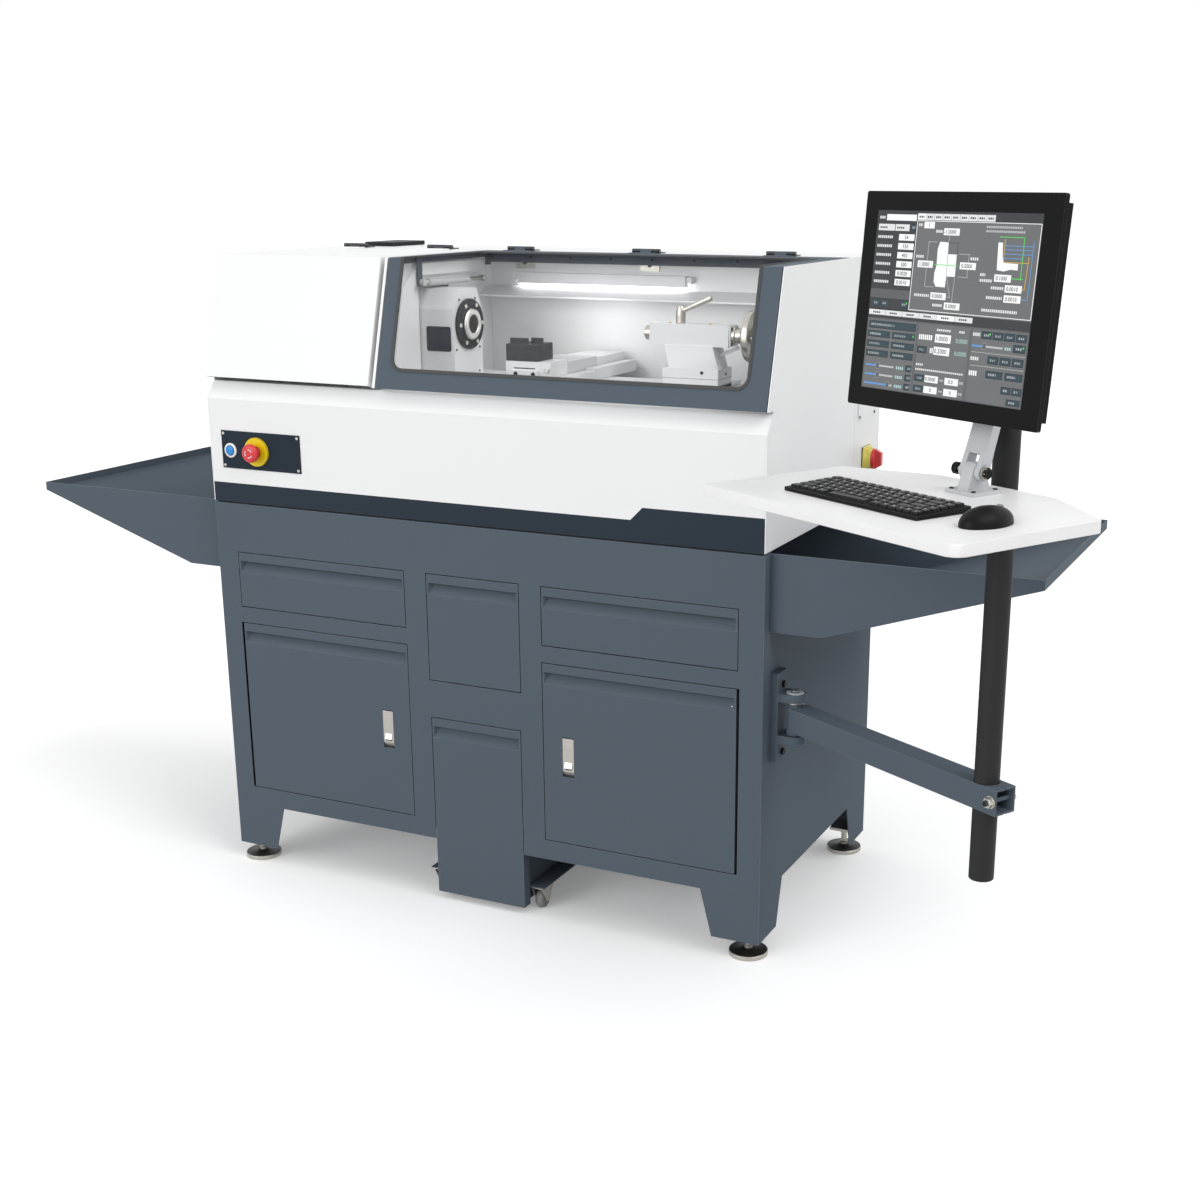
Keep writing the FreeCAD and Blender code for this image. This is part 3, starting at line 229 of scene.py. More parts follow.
def powder_coat(name, colour, roughness=0.42, peel=0.08, gloss=0.3):
    graph = Graph(name)
    base = graph.mix(graph.noise(1.8, 3.0), shade(colour, 0.96), shade(colour, 1.04))
    return coat_of(graph, base, roughness, peel, gloss)


BLUE_GREY = rgb("#5a646e")
WHITE = rgb("#f4f5f5")
STRIPE = rgb("#2a343e")
STEEL_TONE = rgb("#c2bfb6")

stand_paint = powder_coat("stand_paint", BLUE_GREY, 0.5, gloss=0.02)
white_paint = powder_coat("white_paint", WHITE, 0.35, 0.05, gloss=0.5)
black_paint = powder_coat("black_paint", rgb("#1d1f21"), 0.45, gloss=0.15)
post_paint = powder_coat("post_paint", rgb("#2b2b2b"), 0.5, gloss=0.15)
tool_paint = powder_coat("tool_paint", rgb("#343637"), 0.5, gloss=0.12)
casting_paint = powder_coat("casting_paint", rgb("#e9eaeb"), 0.38, 0.16)
bracket_paint = powder_coat("bracket_paint", rgb("#c6c9cc"), 0.4)

# %% [markdown]
# Bare steel parts differ by how they were finished. Turned and ground faces carry fine
# lines in one direction. A noise squeezed hard along that direction draws the lines in
# the roughness and in a faint bump.

# %% Metals
def brushed(name, colour, roughness, lines=(6.0, 900.0, 900.0)):
    graph = Graph(name)
    rolled, worn = graph.edges(0.6)
    streaks = graph.noise(1.0, 4.0, graph.stretched(lines))
    base = graph.mix(streaks, shade(colour, 0.9), shade(colour, 1.06))
    return graph.set(base_color=graph.mix(worn * 0.4, base, (0.9, 0.9, 0.88, 1)), metallic=1.0,
                     roughness=roughness - 0.06 + streaks * 0.14,
                     normal=graph.bump(streaks, 0.05, rolled))


steel = brushed("ground_steel", rgb("#c9cac9"), 0.32)
warm_steel = brushed("turned_steel", STEEL_TONE, 0.28, (900.0, 6.0, 6.0))
nose_steel = brushed("spindle_steel", rgb("#e6e4df"), 0.3, (900.0, 6.0, 6.0))
zinc = brushed("zinc_plate", rgb("#b5b2aa"), 0.36, (60.0, 60.0, 60.0))
brass = brushed("brass", rgb("#c8a24e"), 0.3, (80.0, 80.0, 80.0))
black_oxide = brushed("black_oxide", rgb("#2c2e30"), 0.45, (90.0, 90.0, 90.0))
latch_steel = brushed("latch_steel", rgb("#a9a5a0"), 0.42, (900.0, 6.0, 12.0))

# %% [markdown]
# Plastics are moulded against a lightly sparked tool, so even the smooth ones have a
# tiny texture. The roughness and the specular level set the gloss. A clear coat is added
# only to the two push buttons and the main switch's knob, which are polished.

# %% Plastics, rubber and glass
def moulded(name, colour, roughness, grain=0.12, coat=0.0, gloss=0.35):
    graph = Graph(name)
    rolled, worn = graph.edges(0.9)
    sparks = graph.noise(1400.0, 2.0)
    base = graph.mix(graph.noise(9.0, 2.0), shade(colour, 0.94), shade(colour, 1.04))
    return graph.set(base_color=graph.mix(worn * 0.12, base, (0.7, 0.7, 0.7, 1)),
                     roughness=roughness - 0.04 + sparks * 0.08,
                     normal=graph.bump(sparks, grain, rolled), coat_weight=coat,
                     specular_ior_level=gloss)


black_plastic = moulded("black_plastic", rgb("#0d0d0e"), 0.42, gloss=0.15)
key_plastic = moulded("key_plastic", rgb("#101011"), 0.35, 0.15, gloss=0.2)
bezel_plastic = moulded("bezel_plastic", rgb("#161617"), 0.45, 0.06, gloss=0.08)
red_plastic = moulded("red_plastic", rgb("#da3a3f"), 0.3, 0.04, 0.15)
yellow_plastic = moulded("yellow_plastic", rgb("#ecd00c"), 0.35, 0.05)
blue_plastic = moulded("blue_plastic", rgb("#1d8ad8"), 0.25, 0.04, 0.2)
white_plastic = moulded("white_plastic", rgb("#eceded"), 0.35, 0.05)
wheel_rubber = moulded("wheel_rubber", rgb("#8b8d8e"), 0.6, 0.2)
foot_rubber = moulded("foot_rubber", rgb("#141414"), 0.4, 0.15)
seal_rubber = moulded("seal_rubber", rgb("#434545"), 0.6, 0.25)
belt_rubber = moulded("belt_rubber", rgb("#1b1b1c"), 0.7, 0.4)
laminate = moulded("white_laminate", rgb("#f7f7f7"), 0.35, 0.03)
plate_blue = moulded("plate_blue", rgb("#26303a"), 0.4, 0.05, gloss=0.08)


def clear_sheet():
    """Clear polycarbonate: nearly all light goes through, and a little is mirrored."""
    graph = Graph("clear_sheet")
    haze = graph.noise(30.0, 2.0)
    graph.material.surface_render_method = "BLENDED"
    return graph.set(base_color=(0.85, 0.88, 0.9, 1), roughness=0.02 + haze * 0.03,
                     alpha=0.012 + haze * 0.012)


clear = clear_sheet()
print("Finishes so far:", len(bpy.data.materials))

# %% [markdown]
# The enclosure's front carries a painted band along its foot that steps up near the
# right end. It is colour on the same sheet, not a separate part, so the front panel's
# own material draws it. The step is a straight 45 degree ramp, which is one sum.

# %% Front panel with its band
BAND_TOP, BAND_STEP_TOP = 857.0, 882.0
STEP_X = 978.0


def sheet_white(graph):
    """The enclosure's white, which drifts a little across a large panel."""
    return graph.mix(graph.noise(1.8, 3.0), shade(WHITE, 0.98), WHITE)


def banded_front():
    graph = Graph("front_paint")
    x, _, z = graph.axes()
    ramp = graph.node("ShaderNodeClamp", inputs=[x - STEP_X, 0.0, BAND_STEP_TOP - BAND_TOP])
    white = sheet_white(graph)
    return coat_of(graph, graph.mix(z < (ramp + BAND_TOP), white, STRIPE), 0.35, 0.05, 0.1)


front_paint = banded_front()

# %% [markdown]
# Some CAD nodes hold more than one finish. On the rear cabinet a thin shadow line shows
# where its sheet meets the work area's. The fixed hinge halves are painted, dark on top
# and grey below, and their backing plates inside are plain steel. The headstock cover's
# own two knuckles are dark. The tailstock shows a joint line, and the main switch stands
# on a dark base plate. Each is one mask made from the place.

# %% Nodes with two finishes
CABINET_Y, BODY_TOP = 488.0, 1320.6
HINGE_STRIP_Z = 1321.8                   # the grey strip of a hinge lies below this
PLATE_Y, PLATE_Z = 455.0, 1312.0         # backing plates lie behind and below these
COVER_HINGES, HALF_HINGE = (82.0, 302.0), 32.0
KNUCKLE_Y = 436.0
FOOT_JOINT = (1098.4, 1099.5)            # the line between the tailstock's two castings
SWITCH_BASE_T = 2.2


def cabinet_finish():
    graph = Graph("cabinet_paint")
    _, y, _ = graph.axes()
    white = sheet_white(graph)
    seam = graph.mix(y.between(CABINET_Y - 0.5, CABINET_Y + 0.7), white, shade(WHITE, 0.45))
    return coat_of(graph, seam, 0.35, 0.05)


def hinge_finish():
    graph = Graph("hinge_finish")
    _, y, z = graph.axes()
    plate = (y > PLATE_Y) * (z < PLATE_Z)
    grain = graph.noise(400.0, 2.0)
    rolled, worn = graph.edges(0.5)
    top = graph.mix(z < HINGE_STRIP_Z, rgb("#26292b"), rgb("#85878a"))
    base = graph.mix(plate, top, STEEL_TONE)
    return graph.set(base_color=graph.mix(worn * 0.3, base, (0.7, 0.7, 0.7, 1)), metallic=plate * 0.9,
                     roughness=0.36 + grain * 0.08, normal=graph.bump(grain, 0.06, rolled))


def cover_finish():
    """White sheet with the dark middle knuckles of its two hinges."""
    graph = Graph("cover_paint")
    x, y, z = graph.axes()
    left, right = (x.between(middle - HALF_HINGE, middle + HALF_HINGE) for middle in COVER_HINGES)
    knuckle = (left + right) * (y > KNUCKLE_Y) * (z > BODY_TOP + 0.1)
    white = sheet_white(graph)
    return coat_of(graph, graph.mix(knuckle, white, rgb("#2b2e30")), 0.35, 0.05)


def tailstock_finish():
    """Painted casting with the joint line between its foot and its sliding upper half."""
    graph = Graph("tailstock_paint")
    _, _, z = graph.axes()
    drift = graph.mix(graph.noise(3.0, 3.0), rgb("#e4e5e6"), rgb("#ecedee"))
    return coat_of(graph, graph.mix(z.between(*FOOT_JOINT), drift, rgb("#8d9093")), 0.38, 0.16)


def switch_finish():
    graph = Graph("switch_finish")
    x, _, _ = graph.axes()
    grain = graph.noise(900.0, 2.0)
    rolled, _ = graph.edges(0.6)
    base = graph.mix(x > STAND_W + SWITCH_BASE_T, rgb("#2b2d2f"), rgb("#e9da6a"))
    return graph.set(base_color=base, roughness=0.32 + grain * 0.06,
                     normal=graph.bump(grain, 0.05, rolled))


# %% [markdown]
# The lamp over the work area is a light grey channel with a glowing diffuser below. Its
# glow gives light, but too little for the splash wall, so a hidden area lamp near the end
# of this notebook adds the rest.

# %% Work lamp
DIFFUSER_Z = 1253.4


def lamp_finish():
    graph = Graph("lamp_finish")
    _, _, z = graph.axes()
    below = z < DIFFUSER_Z
    grain = graph.noise(300.0)
    return graph.set(base_color=graph.mix(below, rgb("#e3e4e5"), (1, 1, 1, 1)),
                     roughness=0.35 + grain * 0.05, emission_strength=8.0,
                     emission_color=graph.mix(below, (0, 0, 0, 1), (1.0, 0.99, 1.0, 1)))


# %% Give each CAD node its finish
def dress(material, *names):
    for name in names:
        mesh = frame["nodes"][name].data
        mesh.materials.clear()
        mesh.materials.append(material)


dress(stand_paint, "stand_front", "stand_sides", "stand_back", "bay_liners", "chip_tray", "left_drawer",
      "centre_drawer", "right_drawer", "left_door", "right_door", "coolant_tank", "window_frame",
      "arm_bracket", "swing_arm")
dress(white_paint, "side_panels", "divider", "back_splash")
dress(cover_finish(), "headstock_cover")
dress(cabinet_finish(), "rear_cabinet")
dress(casting_paint, "headstock")
dress(tailstock_finish(), "tailstock")
slide_paint = powder_coat("slide_paint", rgb("#e8e8e9"), 0.35, 0.06)
dress(slide_paint, "saddle", "cross_slide", "bed")
dress(black_paint, "coolant_pump", "spindle_motor", "bearing_cap")
dress(post_paint, "post")
dress(tool_paint, "tool_block")
dress(front_paint, "front_panel")
dress(hinge_finish(), "roof_hinges")
dress(zinc, "levelling_feet", "casters")
dress(lamp_finish(), "light_bar")
dress(powder_coat("way_cover_paint", rgb("#cfcfd1"), 0.3), "way_cover")
dress(steel, "motor_pulley", "z_screw")
dress(powder_coat("strut_paint", rgb("#c9cacb"), 0.35), "strut_tube")
dress(latch_steel, "left_latch", "right_latch")
dress(warm_steel, "quill", "strut_rod", "handwheel", "clamp_lever")
dress(nose_steel, "spindle")
dress(plate_blue, "control_plate")
dress(red_plastic, "estop_button", "switch_knob")
dress(blue_plastic, "reset_button")
dress(switch_finish(), "switch_body")
dress(clear, "window_pane")
dress(seal_rubber, "window_seal")
dress(belt_rubber, "drive_belt")
dress(laminate, "desk")
dress(bezel_plastic, "monitor_case")
dress(black_plastic, "screen", "keyboard", "mouse")
dress(bracket_paint, "monitor_base", "monitor_link")
print("Dressed", len(frame["nodes"]), "nodes")

# %% [markdown]
# New pieces are built as meshes straight in drawing millimetres and moved into place
# by a matrix at the end, so an object always sits at the origin with its place in its
# mesh. Round parts are revolved profiles, as on a lathe: the profile lists a distance
# along the axis and a radius, and a radius of nought closes the end.

# %% Mesh helpers
def add_box(mesh, low, high, tone=0):
    """An axis-aligned box between two corners, added to a bmesh."""
    made = bmesh.ops.create_cube(mesh, size=1.0)["verts"]
    bmesh.ops.scale(mesh, vec=[h - l for l, h in zip(low, high)], verts=made)
    bmesh.ops.translate(mesh, vec=[(l + h) / 2 for l, h in zip(low, high)], verts=made)
    for face in {face for vert in made for face in vert.link_faces}:
        face.material_index = tone


def add_turned(mesh, start, profile, toward=(0, 0, 1), sides=64, closed=False, tone=0):
    """Revolves the profile round an axis. A closed profile makes a hollow part."""
    turn = Vector((0, 0, 1)).rotation_difference(Vector(toward).normalized())
    rings = []
    for distance, radius in profile:
        count = sides if radius > 0.001 else 1
        spots = [(radius * math.cos(2 * math.pi * i / sides), radius * math.sin(2 * math.pi * i / sides),
                  distance) for i in range(count)]
        rings.append([mesh.verts.new(Vector(start) + turn @ Vector(spot)) for spot in spots])
    made = []
    for low, high in zip(rings, rings[1:] + rings[:1] if closed else rings[1:]):
        for i in range(sides):
            j = (i + 1) % sides
            corners = [low[i % len(low)], low[j % len(low)], high[j % len(high)], high[i % len(high)]]
            made.append(mesh.faces.new(list(dict.fromkeys(corners))))
    if not closed:
        made += [mesh.faces.new(ring) for ring in (rings[0][::-1], rings[-1]) if len(ring) > 1]
    for face in made:
        face.material_index = tone


def add_prism(mesh, near, far, tone=0):
    """A solid between two matching outlines of points."""
    near = [mesh.verts.new(spot) for spot in near]
    far = [mesh.verts.new(spot) for spot in far]
    made = [mesh.faces.new(near[::-1]), mesh.faces.new(far)]
    for i in range(len(near)):
        j = (i + 1) % len(near)
        made.append(mesh.faces.new((near[i], near[j], far[j], far[i])))
    for face in made:
        face.material_index = tone


def add_slab(mesh, outline, low, high):
    """A flat outline of (x, y) corners, counter-clockwise from above, drawn up along Z."""
    add_prism(mesh, [(x, y, low) for x, y in outline], [(x, y, high) for x, y in outline])


def piece(name, mesh, materials, body, place=MACHINE, bevel=0.0, smooth=None):
    """Turns a bmesh into an object that rides on a body. smooth is the sharpest angle
    in degrees over which the shading still rolls."""
    if bevel:
        bmesh.ops.bevel(mesh, geom=list(mesh.edges), offset=bevel, segments=2, affect="EDGES", profile=0.5)
    bmesh.ops.transform(mesh, matrix=place, verts=mesh.verts)
    data = bpy.data.meshes.new(name)
    mesh.to_mesh(data)
    mesh.free()
    for material in materials if isinstance(materials, list) else [materials]:
        data.materials.append(material)
    if smooth:
        data.shade_smooth()
        data.set_sharp_from_angle(angle=math.radians(smooth))
    made = bpy.data.objects.new(name, data)
    bpy.context.collection.objects.link(made)
    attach(made, body)
    return made


# %% [markdown]
# Four levelling feet carry the stand. Each is a steel cup with a black top that rises
# to a threaded stud; a nut locks the stud under the stand's plate.

# %% Levelling feet
feet = bmesh.new()
for foot_x in (FOOT_IN, STAND_W - FOOT_IN):
    for foot_y in (FOOT_IN, STAND_D - FOOT_IN):
        spot = (foot_x, foot_y, 0)
        add_turned(feet, spot, [(0, 36), (0.8, 38.2), (1.8, 39), (9, 39), (9.8, 38.4)])
        add_turned(feet, spot, [(9.7, 38), (10.6, 37.4), (12.4, 15), (15, 10.4)], tone=1)
        add_turned(feet, spot, [(12, 9), (20, 9), (21, 6.4), (52, 6.4)])
        add_turned(feet, spot, [(44, 11), (51.9, 11)], sides=6)
        x0 = foot_x - 32 + (6 if foot_x > STAND_W / 2 else 0)
        y0 = foot_y - 32 + (6 if foot_y > STAND_D / 2 else 0)
        add_box(feet, (x0, y0, 52), (x0 + 58, y0 + 58, 58))
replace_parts(piece("stand_feet", feet, [zinc, foot_rubber], "machine", smooth=35), "levelling_feet")

# %% [markdown]
# The coolant tank rolls on four small casters. A bent steel fork narrows to the axle,
# and the grey wheel's tread is rounded so it steers easily.

# %% Casters
CASTER_X, CASTER_Y = (506.5, 744.0), (52.0, 560.0)
AXLE_Z, FORK_TOP = 21.5, 54.0
TREAD = [(0, 6), (0, 13.5), (0.8, 16.4), (3.2, 19.4), (6.4, 20.8), (9.5, 21.2), (12.6, 20.8), (15.8, 19.4),
         (18.2, 16.4), (19, 13.5), (19, 6)]


def fork_side(mesh, x, y):
    """One cheek of the fork: a tapering plate 2 mm thick."""
    outline = [(y - 27, FORK_TOP), (y - 5, AXLE_Z - 5), (y + 5, AXLE_Z - 5), (y + 27, FORK_TOP)]
    add_prism(mesh, [(x - 1, v, z) for v, z in outline], [(x + 1, v, z) for v, z in outline])


wheels = bmesh.new()
for x in CASTER_X:
    for y in CASTER_Y:
        add_turned(wheels, (x - 9.5, y, AXLE_Z), TREAD, (1, 0, 0), tone=1)
        add_turned(wheels, (x - 12.8, y, AXLE_Z), [(0, 3.4), (0.8, 4.2), (24.8, 4.2), (25.6, 3.4)],
                   (1, 0, 0), 24)
        add_box(wheels, (x - 13, y - 27, FORK_TOP - 2), (x + 13, y + 27, FORK_TOP))
        fork_side(wheels, x - 12, y)
        fork_side(wheels, x + 12, y)
bmesh.ops.recalc_face_normals(wheels, faces=wheels.faces)
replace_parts(piece("tank_casters", wheels, [zinc, wheel_rubber], "coolant_tank", smooth=35), "casters")

# %% [markdown]
# The spindle is one hollow turning: belt pulley at the left, bearing seats hidden in
# the headstock, and a bright nose that stands out of the black bearing cap. Both are
# revolved from closed profiles, because the bore goes right through.

# %% Spindle and bearing cap
SPINDLE_Y, SPINDLE_Z = 232.0, 1183.0
HEAD_FACE_X = 497.0
SHAFT_X = 186.0
RIGHT = (1, 0, 0)

spindle = bmesh.new()
add_turned(spindle, (SHAFT_X, SPINDLE_Y, SPINDLE_Z),
           [(0, 29.5), (1, 30.5), (10, 30.5), (10, 50.4), (10.6, 51), (12, 51), (12.5, 45), (35.5, 45),
            (36, 51), (37.4, 51), (38, 50.4), (38, 30.5), (313, 30.5), (313, 31.5), (322, 31.5),
            (323.4, 30.6), (325, 28.4), (325, 20), (323.8, 18.5), (0, 18.5)], RIGHT, closed=True)
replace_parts(piece("turned_spindle", spindle, nose_steel, "spindle", smooth=32), "spindle")

cap = bmesh.new()
add_turned(cap, (HEAD_FACE_X, SPINDLE_Y, SPINDLE_Z),
           [(0, 33.2), (0, 50.4), (0.6, 51), (5.6, 51), (6.8, 50.2), (7.6, 48.2), (8, 46), (8, 34.6),
            (7, 33.2)], RIGHT, closed=True)
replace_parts(piece("turned_cap", cap, black_paint, "machine", smooth=32), "bearing_cap")

# %% [markdown]
# On the tailstock, the quill slides out of the barrel when the handwheel is turned, and
# the lever on top clamps it. The wheel is a dished casting with a turned rim and a
# small grip near its edge.

# %% Quill, handwheel and clamping lever
QUILL_Z = SPINDLE_Z - 2
WHEEL_X = 1119.0
LEVER_X = 976.0

quill = bmesh.new()
add_turned(quill, (903, SPINDLE_Y, QUILL_Z),
           [(0, 9.4), (0, 11.8), (1.6, 13.6), (167, 13.6), (167, 7.4), (66, 7.4), (1, 8.9)],
           RIGHT, closed=True)
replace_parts(piece("turned_quill", quill, warm_steel, "quill", smooth=32), "quill")

wheel = bmesh.new()
add_turned(wheel, (1088.5, SPINDLE_Y, QUILL_Z),
           [(0, 17), (0.5, 17.5), (5, 17.5), (5.4, 14), (16, 14), (16.4, 13.6), (16.4, 11.4), (31, 11.4)],
           RIGHT)
add_turned(wheel, (WHEEL_X, SPINDLE_Y, QUILL_Z),
           [(0, 0), (0, 15), (0.8, 18), (0.8, 43), (0, 46), (0.6, 47.6), (2.4, 48.7), (4.5, 49), (11.5, 49),
            (13.2, 48.6), (14, 47.4), (14, 44.4), (13, 42.8), (6.4, 40.6), (5.2, 38.6), (5, 20), (6.2, 14.6),
            (12.4, 13.8), (13, 13), (13, 0)], RIGHT)
add_turned(wheel, (990, SPINDLE_Y, QUILL_Z), [(0, 5.8), (0.8, 6.4), (130, 6.4)], RIGHT, 32)
add_turned(wheel, (WHEEL_X + 4, SPINDLE_Y - 34, QUILL_Z),
           [(0, 3.6), (10, 3.6), (10.4, 4.8), (12, 6), (18, 6.5), (30, 5.9), (37, 4.9), (38.6, 3.8),
            (39, 2), (39, 0)], RIGHT, 32)
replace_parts(piece("turned_handwheel", wheel, warm_steel, "handwheel", smooth=32), "handwheel")

lever = bmesh.new()
add_turned(lever, (LEVER_X, SPINDLE_Y, 1201.4),
           [(0, 9.5), (14, 9.8), (17, 10), (29, 7.6), (32, 6.2), (33.4, 4), (33.8, 0)], sides=48)
add_turned(lever, (LEVER_X, SPINDLE_Y, 1223),
           [(0, 4.6), (8, 4.8), (58, 6.0), (66, 6.1), (69, 5.2), (70.4, 3), (70.8, 0)], (64, 0, 28), 40)
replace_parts(piece("turned_lever", lever, warm_steel, "clamp_lever", smooth=32), "clamp_lever")

# %% [markdown]
# The operator's post is a plain steel tube. It passes through the arm's split end and
# carries the desk on a collar with a welded plate and rib. The desk top is a white
# laminate board with softened edges and clipped rear corners.

# %% Post and desk top
POST_R = 21.2
DESK_TOP, DESK_T = 1013.0, 18.0

post = bmesh.new()
add_turned(post, (0, 0, 344), [(826, 0), (826, 18.2), (0, 18.2), (0, 20.6), (0.8, POST_R), (833.5, POST_R),
                               (835.4, 20.4), (836, 19), (836, 0)], sides=72)
add_turned(post, (0, 0, DESK_TOP - DESK_T - 60),
           [(0, POST_R), (0, 26.2), (0.8, 27), (60, 27), (60, POST_R)], closed=True)
under = DESK_TOP - DESK_T
add_box(post, (-60, -230, under - 8), (60, -24, under))
RIB = ((-24, under - 60), (-24, under - 7), (-200, under - 7))
add_prism(post, [(-3, y, z) for y, z in RIB], [(3, y, z) for y, z in RIB])
bmesh.ops.recalc_face_normals(post, faces=post.faces)
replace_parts(piece("round_post", post, post_paint, "post", ARM, smooth=32), "post")


def rounded(corners, radii, steps=8):
    """An outline with each corner rounded to its own radius, counter-clockwise."""
    outline = []
    for i, (corner, radius) in enumerate(zip(corners, radii)):
        here = Vector(corner)
        back = (Vector(corners[i - 1]) - here).normalized()
        ahead = (Vector(corners[(i + 1) % len(corners)]) - here).normalized()
        half = back.angle(ahead) / 2
        middle = here + (back + ahead).normalized() * (radius / math.sin(half))
        first = here + back * (radius / math.tan(half)) - middle
        last = here + ahead * (radius / math.tan(half)) - middle
        sweep = first.angle_signed(last)
        outline += [tuple(middle + Matrix.Rotation(-sweep * k / steps, 2) @ first) for k in range(steps + 1)]
    return outline


DESK_CORNERS = [(-265, -390), (285, -390), (285, -105), (132, -30), (-112, -30), (-265, -105)]
desk = bmesh.new()
add_slab(desk, rounded(DESK_CORNERS, (3, 18, 14, 20, 20, 14)), DESK_TOP - DESK_T, DESK_TOP)
rims = [edge for edge in desk.edges if abs(edge.verts[0].co.z - edge.verts[1].co.z) < 0.1]
bmesh.ops.bevel(desk, geom=rims, offset=1.6, segments=3, affect="EDGES", profile=0.5)
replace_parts(piece("desk_board", desk, laminate, "post", ARM, smooth=32), "desk")

# %% [markdown]
# Where a CAD shape is drawn with flats, a merged copy of the node is shaded smoothly up to
# a set angle. Corners sharper than that stay crisp. Two copies are also reshaped after
# the photograph, and so depart from their solids: the tailstock's foot is made slimmer
# on a seat plate, and the cabinet's roof box is lowered and drawn as a cap of its own.
# The tool block is drawn anew, without the solid's pocket.

# %% Smooth copies of CAD shapes
def smoothed(node, sharpest=42, reshape=None):
    source = frame["nodes"][node]
    mesh = bmesh.new()
    mesh.from_mesh(source.data)
    bmesh.ops.remove_doubles(mesh, verts=mesh.verts, dist=0.00002)
    if reshape:
        reshape(mesh)
    bmesh.ops.dissolve_limit(mesh, angle_limit=math.radians(1), verts=mesh.verts, edges=mesh.edges)
    made = piece("smooth_" + node, mesh, source.data.materials[0], BODY_OF[node], Matrix.Identity(4),
                 smooth=sharpest)
    even = made.modifiers.new("even_flats", "WEIGHTED_NORMAL")
    even.keep_sharp = True
    even.weight = 100
    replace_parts(made, node)


SEAT = (160.0, 322.0, 1079.6, 1088.0)    # the foot's front, rear and bottom, the seat's top
SLIM_FRONT, SLIM_REAR, FOOT_TOP = 204.0, 272.0, 1118.2


def slim_foot(mesh):
    """Brings the front and rear faces of the tailstock's foot closer together."""
    for vert in mesh.verts:
        y, z = vert.co.y / MM + FOOT_IN, vert.co.z / MM
        if z < FOOT_TOP and (y < SEAT[0] + 1 or y > SEAT[1] - 1):
            vert.co.y = ((SLIM_FRONT if y < SEAT[0] + 1 else SLIM_REAR) - FOOT_IN) * MM


def flat_roof(mesh):
    """Lowers the roof box of the cabinet into its roof."""
    for vert in mesh.verts:
        if vert.co.z / MM > BODY_TOP + 1:
            vert.co.z = (BODY_TOP + 0.05) * MM


for name in ("monitor_base", "monitor_link", "arm_bracket", "swing_arm", "roof_hinges", "switch_body",
             "switch_knob", "strut_tube", "strut_rod", "motor_pulley", "spindle_motor", "coolant_pump",
             "drive_belt", "window_seal"):
    smoothed(name)
smoothed("tailstock", reshape=slim_foot)
seat = bmesh.new()
add_box(seat, (949, SEAT[0], SEAT[2]), (1067, SEAT[1], SEAT[3]))
piece("tailstock_seat", seat, casting_paint, "tailstock", bevel=1.0)

SLIDE_TOP = 1127.6
TOOL_BOXES = (((658, 106, SLIDE_TOP), (728, 169, 1160)), ((667, 106.4, 1159), (706, 113, 1172)),
              ((705.5, 122, 1159), (730, 129, 1172)))
block = bmesh.new()
for low, high in TOOL_BOXES:
    add_box(block, low, high)
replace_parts(piece("tool_post", block, tool_paint, "cross_slide", bevel=0.7), "tool_block")
neck = bmesh.new()
add_box(neck, (690, 104, 1115.6), (708, 110, 1127.4))
piece("slot_end", neck, slide_paint, "cross_slide")

smoothed("rear_cabinet", reshape=flat_roof)
roof_box = bmesh.new()
add_box(roof_box, (52.0, 519.5, BODY_TOP), (130.0, 651.0, BODY_TOP + 9.4))
piece("roof_box_cap", roof_box, black_paint, "machine", bevel=1.2)

# %% [markdown]
# Screws repeat all over the machine, so Geometry Nodes set them: a mesh of single
# points says where, an attribute says which way each one faces, and the tree puts a
# head with a hexagon socket on each point. Its sizes are inputs of the tree.

# %% Node trees for repeated parts
class Tree:
    """A Geometry Nodes tree with named inputs."""

    def __init__(self, name, numbers, vectors=()):
        self.tree = bpy.data.node_groups.new(name, "GeometryNodeTree")
        face = self.tree.interface
        face.new_socket("Points", in_out="INPUT", socket_type="NodeSocketGeometry")
        for label, size in numbers:
            face.new_socket(label, in_out="INPUT", socket_type="NodeSocketFloat").default_value = size
        for label in vectors:
            face.new_socket(label, in_out="INPUT", socket_type="NodeSocketVector")
        face.new_socket("Finish", in_out="INPUT", socket_type="NodeSocketMaterial")
        face.new_socket("Result", in_out="OUTPUT", socket_type="NodeSocketGeometry")
        self.given = self.add("NodeGroupInput").outputs

    def add(self, kind, settings=None, **inputs):
        made = self.tree.nodes.new(kind)
        for key, value in (settings or {}).items():
            setattr(made, key, value)
        for key, value in inputs.items():
            socket = made.inputs[int(key[1:])] if key[1:].isdigit() else made.inputs[key.replace("_", " ")]
            if isinstance(value, bpy.types.NodeSocket):
                self.tree.links.new(value, socket)
            else:
                socket.default_value = value
        return made

    def scaled(self, vector, factor):
        made = self.add("ShaderNodeVectorMath", {"operation": "SCALE"}, i0=vector)
        made.inputs["Scale"].default_value = factor
        return made.outputs[0]

    def finish(self, geometry):
        real = self.add("GeometryNodeRealizeInstances", Geometry=geometry)
        dressed = self.add("GeometryNodeSetMaterial", Geometry=real.outputs[0], Material=self.given["Finish"])
        self.tree.links.new(dressed.outputs[0], self.add("NodeGroupOutput").inputs[0])
        return self.tree


